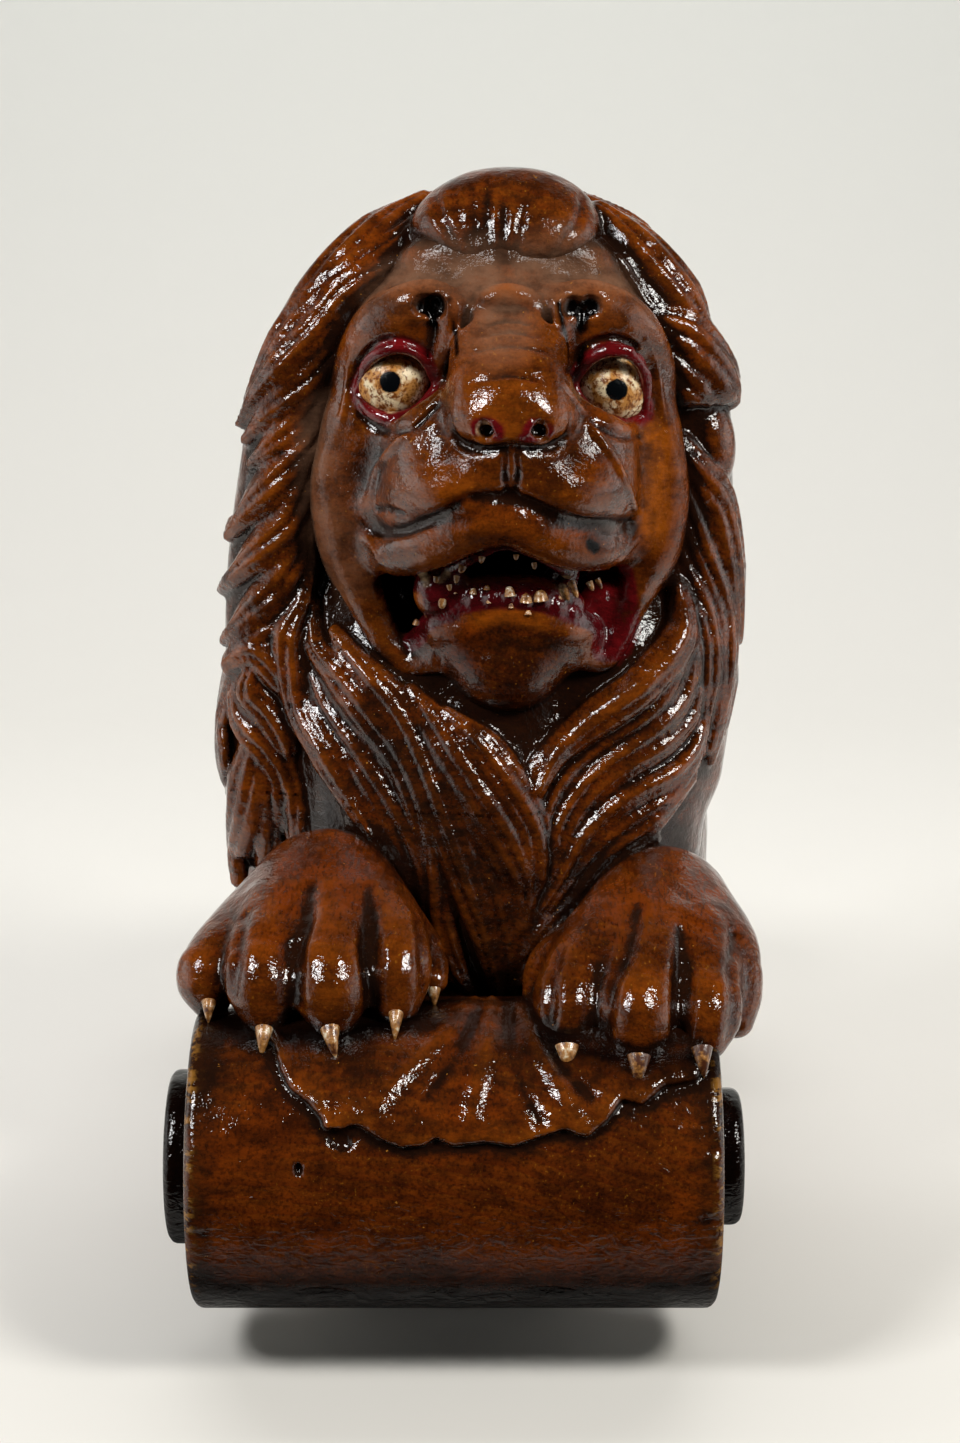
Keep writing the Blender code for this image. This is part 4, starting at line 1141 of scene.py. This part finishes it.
RIGHT_TOES = (
    (((652, 912, 60), (618, 950, 30), (577, 988, 4), (570, 1008, -5), (568, 1034, -11)),
     (25, 23, 15, 14, 9.5)),
    (((662, 912, 60), (654, 950, 26), (642, 990, -5), (639, 1014, -15), (640, 1040, -19)),
     (25, 23.5, 15.5, 15, 10)),
    (((668, 912, 60), (690, 948, 30), (704, 992, 0), (706, 1014, -10), (704, 1036, -15)),
     (24, 20, 14, 13.5, 9.5)),
    (((674, 914, 60), (716, 940, 38), (738, 968, 20), (740, 995, 12), (736, 1020, 6)), (22, 15, 9, 8.5, 7)),
    (((600, 950, 40), (558, 964, 26), (543, 990, 18), (544, 1020, 10)), (14, 11, 8, 7)))
RIGHT_GROOVES = (
    (((639, 905), (626, 955), (612, 984), (606, 1030)), (1.4, 3.2, 3.4, 2.6)),
    (((680, 930), (681, 972), (679, 1010), (676, 1046)), (1.4, 3.2, 3.4, 2.6)),
    (((733, 934), (731, 972), (735, 1000), (730, 1034)), (1.4, 2.6, 2.6, 2)),
    (((560, 950), (552, 985), (550, 1020)), (1.2, 2.2, 2)))


def paw(toes, grooves):
    """The forms of a paw: its toes, and the grooves that part them."""
    def forms(wood):
        for places, radii in toes:
            roll(wood, line_seen(*places), radii, blend=5)
        for groove, sizes in grooves:
            score(wood, groove, sizes, rise=1.4, blend=4)
    return forms


left_paw_forms = paw(LEFT_TOES, LEFT_GROOVES)
right_paw_forms = paw(RIGHT_TOES, RIGHT_GROOVES)
carve("left_paw", (-116, -46, 110), (6, 90, 216), CELL, [left_paw_forms], 0.8)
carve("right_paw", (14, -46, 104), (121, 90, 208), CELL, [right_paw_forms], 0.8)

# The claws and teeth: short horn-shaped points, left standing in the carving and painted in cream and ochre
# that has worn thin. One bent, tapering point is set at each place, in the size and turn that belong there.
bone_paint, tree, place = new_material("worn_cream_and_ochre_paint_on_claws_and_teeth")
streaks = noise(tree, place, 300.0, 4.0, Roughness=0.7)
to_the_right = ramp(tree, part_of(tree, place, "X"), 0.045, 0.065, 0.0, 0.1)
paint_left = sums(tree, "SUBTRACT", streaks, to_the_right)
colour = layered(tree, mixed(tree, ramp(tree, paint_left, 0.36, 0.52), linear("#4c2208"), linear("#b27a3c")),
                 (ramp(tree, paint_left, 0.54, 0.62), "#e6d3b2"))
bumps = add(tree, "ShaderNodeBump", Height=streaks, Strength=0.5, Distance=0.0006).outputs[0]
close_material(tree, Base_Color=colour, Roughness=0.4, Normal=bumps, Coat_Weight=1.0, Coat_Roughness=0.12,
               Coat_Normal=bumps)


def points_tree():
    """Sets one bent, tapering point at each vertex, by the size and turn that the vertex holds."""
    tree = bpy.data.node_groups.new("claws_and_teeth", "GeometryNodeTree")
    for name, kind in (("Places", "Geometry"), ("Point Length", "Float"), ("Root Radius", "Float"),
                       ("Bend", "Float"), ("Taper", "Float"), ("Sides", "Int")):
        tree.interface.new_socket(name, in_out="INPUT", socket_type="NodeSocket" + kind)
    tree.interface.new_socket("Points", in_out="OUTPUT", socket_type="NodeSocketGeometry")
    given = tree.nodes.new("NodeGroupInput").outputs
    downward = sums(tree, "MULTIPLY", given["Point Length"], -1.0)
    halfway = add(tree, "ShaderNodeCombineXYZ", Y=sums(tree, "MULTIPLY", given["Bend"], -1.0),
                  Z=sums(tree, "MULTIPLY", downward, 0.5))
    tip = add(tree, "ShaderNodeCombineXYZ", Z=downward)
    curve = add(tree, "GeometryNodeCurveQuadraticBezier", Resolution=10, Start=(0, 0, 0),
                Middle=halfway.outputs[0], End=tip.outputs[0])
    share = add(tree, "GeometryNodeSplineParameter").outputs["Factor"]
    taper = sums(tree, "POWER", sums(tree, "SUBTRACT", 1.02, share), given["Taper"])
    ring = add(tree, "GeometryNodeCurvePrimitiveCircle", Resolution=given["Sides"],
               Radius=given["Root Radius"])
    horn = add(tree, "GeometryNodeCurveToMesh", Curve=curve.outputs[0], Profile_Curve=ring.outputs[0],
               Scale=taper, Fill_Caps=True)
    size = add(tree, "GeometryNodeInputNamedAttribute", {"data_type": "FLOAT_VECTOR"}, Name="size")
    turn = add(tree, "GeometryNodeInputNamedAttribute", {"data_type": "FLOAT_VECTOR"}, Name="turn")
    placed = add(tree, "GeometryNodeInstanceOnPoints", Points=given["Places"], Instance=horn.outputs[0],
                 Rotation=turn.outputs[0], Scale=size.outputs[0])
    real = add(tree, "GeometryNodeRealizeInstances", Geometry=placed.outputs[0])
    painted = add(tree, "GeometryNodeSetMaterial", Geometry=real.outputs[0], Material=bone_paint)
    smooth = add(tree, "GeometryNodeSetShadeSmooth", Geometry=painted.outputs[0])
    out = tree.nodes.new("NodeGroupOutput")
    tree.links.new(smooth.outputs[0], out.inputs["Points"])
    return tree


def set_of_points(name, places, length, radius, bend, taper):
    """One mesh with a point at each of: picture place, sizes, turn in degrees. Measures are in mm."""
    spots, sizes, turns = zip(*places)
    seeds = bpy.data.meshes.new(name + "_places")
    seeds.from_pydata([tuple((seen(*spot) - np.array([0, MIDDLE_BACK, 0])) / 1000) for spot in spots], [], [])
    keep_on(seeds, "size", "FLOAT_VECTOR", "vector", sizes)
    keep_on(seeds, "turn", "FLOAT_VECTOR", "vector", np.radians(turns))
    holder = bpy.data.objects.new(name + "_places", seeds)
    bpy.context.scene.collection.objects.link(holder)
    nodes = holder.modifiers.new("set_points", "NODES")
    nodes.node_group = points_tree()
    values = {"Point Length": length / 1000, "Root Radius": radius / 1000, "Bend": bend / 1000,
              "Taper": taper, "Sides": 16}
    for socket in nodes.node_group.interface.items_tree:
        if socket.name in values:
            nodes[socket.identifier] = values[socket.name]
    mesh = bpy.data.meshes.new_from_object(holder.evaluated_get(bpy.context.evaluated_depsgraph_get()))
    holder.modifiers.remove(nodes)
    bpy.data.objects.remove(holder)
    piece = bpy.data.objects.new(name, mesh)
    bpy.context.scene.collection.objects.link(piece)
    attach(piece, "root")


CLAWS = (
    ((209, 1002, -5), (1.1, 1, 0.9), (-30, 0, 0)),
    ((264, 1029, -21), (1.3, 1.1, 1.15), (-30, 4, 0)),
    ((330, 1029, -26), (1.4, 1.1, 1.25), (-28, -14, 0)),
    ((396, 1014, -18), (1.1, 1, 1.1), (-30, 2, 0)),
    ((434, 989, 8), (1.0, 0.9, 0.8), (-20, 0, 0)),
    ((567, 1046, -28), (1.7, 1.1, 1.0), (-24, 0, 0)),
    ((639, 1056, -36), (1.7, 1.1, 1.15), (-18, 3, 0)),
    ((702, 1048, -33), (1.5, 1.1, 1.2), (-18, -3, 0)))
set_of_points("claws", CLAWS, length=9.0, radius=2.6, bend=2.4, taper=0.75)

# Each tooth: its picture point and depth, width, height, tilt and lean in degrees
TEETH = (
    (463, 566, 50, 0.9, 0.6, -8, 25), (482, 557, 46, 0.7, 0.5, -8, 10), (516, 555, 44, 0.6, 0.4, -8, 0),
    (534, 563, 47, 0.6, 0.5, -8, -8), (437, 577, 57, 0.8, 0.5, -6, 14), (449, 585, 56, 0.6, 0.5, -6, -10),
    (426, 590, 60, 0.7, 0.8, -6, 6), (442, 599, 58, 1.1, 0.8, -6, 0), (455, 594, 57, 0.6, 0.4, 176, 0),
    (457, 576, 55, 0.7, 0.6, -6, 10), (473, 594, 54, 0.8, 0.5, 186, 8), (487, 590, 53, 0.7, 0.4, 180, 0),
    (510, 596, 51, 1.2, 0.8, 186, -5), (526, 602, 51, 1.3, 0.7, 190, 4), (541, 601, 52, 1.6, 0.9, 184, -6),
    (489, 603, 52, 0.7, 0.4, 186, 0), (511, 608, 51, 0.6, 0.4, 186, 0), (528, 615, 51, 0.8, 0.4, 176, 0),
    (560, 604, 57, 0.8, 0.7, 186, -10), (569, 617, 60, 0.9, 0.6, 186, -20),
    (579, 621, 63, 0.9, 0.5, 186, -20), (571, 582, 58, 0.9, 1.4, -6, -22), (565, 589, 58, 0.7, 1.0, -6, -18),
    (589, 582, 64, 0.8, 0.8, -6, -25), (597, 579, 66, 0.7, 0.9, -6, -25), (416, 625, 74, 0.8, 0.5, 186, 10))
set_of_points("teeth", [((u, v, y), (w, w, h), (tilt, lean, 0)) for u, v, y, w, h, tilt, lean in TEETH],
              length=4.6, radius=1.9, bend=0.6, taper=0.3)

# The finish: the hollows are darker, as grime that the varnish has drawn in and as painted shade, and the
# crests lighter, as rubbed by handling and as painted light. How hollow each place is comes from the wood
# around it, near and far, in one coarse block of the whole carving.


def averaged(values, reach):
    """Average a block of numbers over a cube around each cell."""
    for axis in range(3):
        padded = np.concatenate([np.repeat(np.take(values, [0], axis), reach + 1, axis), values,
                                 np.repeat(np.take(values, [-1], axis), reach, axis)], axis)
        total = np.cumsum(padded, axis, dtype=np.float32)
        high = np.take(total, range(2 * reach + 1, total.shape[axis]), axis)
        low = np.take(total, range(0, total.shape[axis] - 2 * reach - 1), axis)
        values = (high - low) / (2 * reach + 1)
    return values


whole = worked((-122, -68, -4), (126, 470, 460), 2.4,
               [base_forms, scroll_forms, slope_forms, apron_forms, body_forms, mane_mass, chest_mass,
                mane_hair, nape_hair, chest_hair, head_forms, left_paw_forms, right_paw_forms])


def averaged_copy(wood, limit, reach):
    """A copy of a block whose distances are cut at a limit and averaged over a cube of cells."""
    copy = Wood.__new__(Wood)
    copy.axes, copy.cell = wood.axes, wood.cell
    copy.depth = averaged(np.clip(wood.depth, -limit, limit), reach)
    return copy


def covered(points, line, radius, soft):
    """How far paint laid along a line with a round brush covers each place, from none to full."""
    line = np.asarray(line, float)
    nearest = np.full(len(points), 1e9)
    for a, b in zip(line[:-1], line[1:]):
        t = np.clip((points - a) @ (b - a) / ((b - a) @ (b - a) + 1e-9), 0, 1)
        nearest = np.minimum(nearest, np.linalg.norm(points - a - t[:, None] * (b - a), axis=1))
    return np.clip((radius - nearest) / soft + 0.5, 0, 1)


# Paint and finish on head and mane, stroke by stroke: its places and the radius of the brush in mm. Places of
# two numbers are picture points laid on the head, and places of three have a depth of their own.
PAINT = {
    "red": (
        (((628, 424, 70), (634, 430, 72)), 3.5),
        (((477, 425, 22), (475, 433, 22), (484, 441, 21)), 2.6),
        (((477, 425, 22), (488, 422, 20), (498, 430, 20), (497, 438, 21)), 2.4),
        (((528, 437, 21), (530, 426, 20), (542, 421, 20), (551, 428, 22)), 2.2),
        (((526, 440, 21), (540, 444, 21), (553, 436, 22)), 3.0),
        (((600, 580, 78), (603, 606, 78), (600, 628, 78)), 15.0)),
    "gum": (
        (((414, 648, 80), (430, 620, 66), (458, 601, 57), (500, 595, 53), (545, 600, 55), (580, 618, 64),
         (606, 644, 78)), 5.6),
        (((424, 572, 66), (440, 580, 60), (446, 600, 60)), 9.0),
        (((584, 568, 66), (572, 584, 62), (566, 604, 66)), 6.5),
        (((448, 570, 59), (474, 557, 51), (505, 547, 48), (540, 557, 51), (568, 572, 59)), 4.2),
        (((440, 590, 66), (480, 584, 62), (510, 582, 60), (548, 586, 62), (574, 592, 66)), 5.0),
        (((398, 652, 86), (404, 664, 90)), 6.0)),
    "cream": (
        (((392, 412, 66), (386, 420, 68)), 2.2),
        (((483, 428, 22), (483, 431, 23)), 2.6),
        (((423, 572, 62), (428, 584, 59), (424, 598, 62)), 1.8),
        (((447, 573, 57), (440, 580, 57)), 1.2),
        (((536, 431, 23), (537, 430, 23)), 1.4),
        (((566, 580, 58), (562, 600, 60)), 2.0)),
    "dull": (
        (((478, 640), (506, 652), (538, 642)), 12.0),
        (((570, 452), (584, 468)), 9.0),
        (((454, 450), (450, 490)), 8.0),
        (((589, 544), (595, 548)), 6.0),
        (((656, 430), (657, 480), (652, 540)), 12.0)),
    # Painted light: the lit top of the chin and the lit right cheek
    "worn": (
        (((480, 622), (510, 618), (540, 624)), 5.0),
        (((656, 440), (657, 480), (652, 530)), 9.0)),
    # Satin places with a painted grey sheen: the forehead hollows, the left cheek and the top of the bridge
    "satin_and_painted_sheen": (
        (((396, 292, 76), (430, 266, 66), (470, 272, 64)), 15.0),
        (((542, 272, 64), (580, 264, 66), (614, 292, 76)), 15.0),
        (((334, 430, 90), (336, 500, 86), (348, 570, 84)), 12.0),
        (((500, 320, 58), (500, 372, 44)), 12.0)),
    # Black painted as shade: the mouth's deep holes, the nostrils' holes, the creases beside the bridge and
    # the brow notches; also a dark knot at the lip's right end
    "black_and_painted_shade": (
        (((384, 590, 104), (396, 614, 106), (404, 634, 104)), 20.0),
        (((470, 570, 84), (507, 566, 84), (545, 574, 84)), 17.0),
        (((487, 432, 24), (488, 433, 27)), 2.0),
        (((541, 431, 24), (541, 432, 27)), 2.0),
        (((589, 544), (595, 548)), 2.4),
        (((449, 300), (455, 330), (457, 354)), 1.2),
        (((559, 304), (563, 330), (568, 354)), 1.2),
        (((426, 306, 62), (434, 306, 62), (431, 318, 63)), 4.6),
        (((575, 308, 62), (590, 307, 62), (582, 322, 63)), 4.6))}
PAINT["red"] += tuple((lid, 3.6) for lid in LEFT_LIDS + RIGHT_LIDS)
SOFTLY_PAINTED = ("satin_and_painted_sheen", "worn", "dull")

# Lines of painted shadow on the scroll under the toes, in picture points
UNDER_TOES = (((196, 1004), (236, 1030), (264, 1040), (330, 1042), (396, 1026), (440, 1000)),
              ((545, 1040), (590, 1056), (640, 1066), (702, 1060), (716, 1046)))


def stroke(places):
    """The smooth line of a brush stroke through picture points or places."""
    on_head = len(places[0]) == 2
    return smooth_line(laid(head_wood, places)[0] if on_head else line_seen(*places), 6.0)[0]


def shade_in_parting(points):
    """How near each place is to the parting between the locks of the chest, seen from the front, where shade
    is painted.
    """
    front = np.array([1, 0, 1])
    parting = line_seen((380, 740, 70), (450, 820, 70), (492, 900, 70), (508, 1010, 70))
    return covered(points * front, parting * front, 18.0, 30.0)


# The scroll is painted black as shade below one height, and in painted shade below another, again above a
# third under the hem and paws, and on its boss faces; it is also darker towards its ends
BLACK_BELOW, SHADED_BELOW, SHADED_ABOVE, DARKER_BEYOND = 60, 56, 100, 82
near_whole = averaged_copy(whole, 6.0, 2)
far_whole = averaged_copy(whole, 16.0, 6)
for piece, wood in carved:
    points = np.empty(len(piece.data.vertices) * 3, np.float32)
    piece.data.vertices.foreach_get("co", points)
    points = points.reshape(-1, 3) * 1000 + np.array([0, MIDDLE_BACK, 0])
    near, far = depth_at(near_whole, points), depth_at(far_whole, points)
    own = depth_at(averaged_copy(wood, 4.0, 2), points)
    # Crests lighter as wear and painted light; hollows darker as grime and painted shade
    worn = 0.2 * near + 0.02 * far + 0.5 * own
    held = {}
    if piece in (mane, chest):
        # Hair: hollows darker as grime and painted shade, darkest in the parting down the chest
        grime = np.clip(0.27 - 0.5 * near - 0.22 * far - 0.6 * own, 0, 1)
        grime = np.maximum(grime, 0.14 + 0.5 * shade_in_parting(points))
        worn = np.clip(worn, 0, 0.55)
    else:
        grime = np.clip(0.07 - 0.75 * near - 0.08 * far - 0.6 * own, 0, 1)
        worn = np.clip(worn + (0.16 if piece is head else 0), 0, 1)
    if piece is scroll:
        side, up = np.abs(points[:, 0]), points[:, 2]
        on_end = side > SCROLL_HALF + 1
        rim = np.hypot(side - SCROLL_HALF, np.hypot(points[:, 1], up - SCROLL_AXIS) - SCROLL_RADIUS)
        held["arris"] = np.clip(1.2 - rim / 4.0, 0, 1)
        # Painted shade low down, on the boss faces, and above, under the hem and paws; darker towards the
        # ends
        grime = np.clip(grime + np.clip((SHADED_BELOW - up) / 24, 0, 0.9) + 0.95 * on_end, 0, 1)
        grime = grime + np.clip((up - SHADED_ABOVE) / 60, 0, 0.4) + np.clip((side - DARKER_BEYOND) / 22, 0, 0.6)
        grime = np.clip(grime, 0, 1)
        # Painted black as shade below a height and on the boss faces
        held["black_and_painted_shade"] = np.clip((BLACK_BELOW - up) / 24, 0, 0.9) + 0.8 * on_end
        # Painted shadow under the toes
        for toes in UNDER_TOES:
            line = [on_scroll(u, v, 3.0) for u, v in toes]
            held["black_and_painted_shade"] = np.maximum(held["black_and_painted_shade"], 0.9 * covered(points, line, 8.0, 14.0))
    held.update(grime=grime, worn=worn)
    if piece in (head, mane):
        for name, strokes in PAINT.items():
            soft = 12.0 if name in SOFTLY_PAINTED else 1.0
            for places, radius in strokes:
                cover = covered(points, stroke(places), radius, soft)
                held[name] = np.maximum(held.get(name, 0), cover)
    if piece is head:
        # Painted shade under the chin: darker there, and less rubbed
        shade_under_chin = np.linalg.norm(points - seen(511, 676, 56), axis=1)
        held["grime"] = np.clip(held["grime"] + np.clip(1.4 - shade_under_chin / 20, 0, 0.35), 0, 1)
        held["worn"] = np.clip(held["worn"] - np.clip(1.6 - shade_under_chin / 20, 0, 1), 0, 1)
    for name, values in held.items():
        keep_on(piece.data, name, "FLOAT", "value", values)
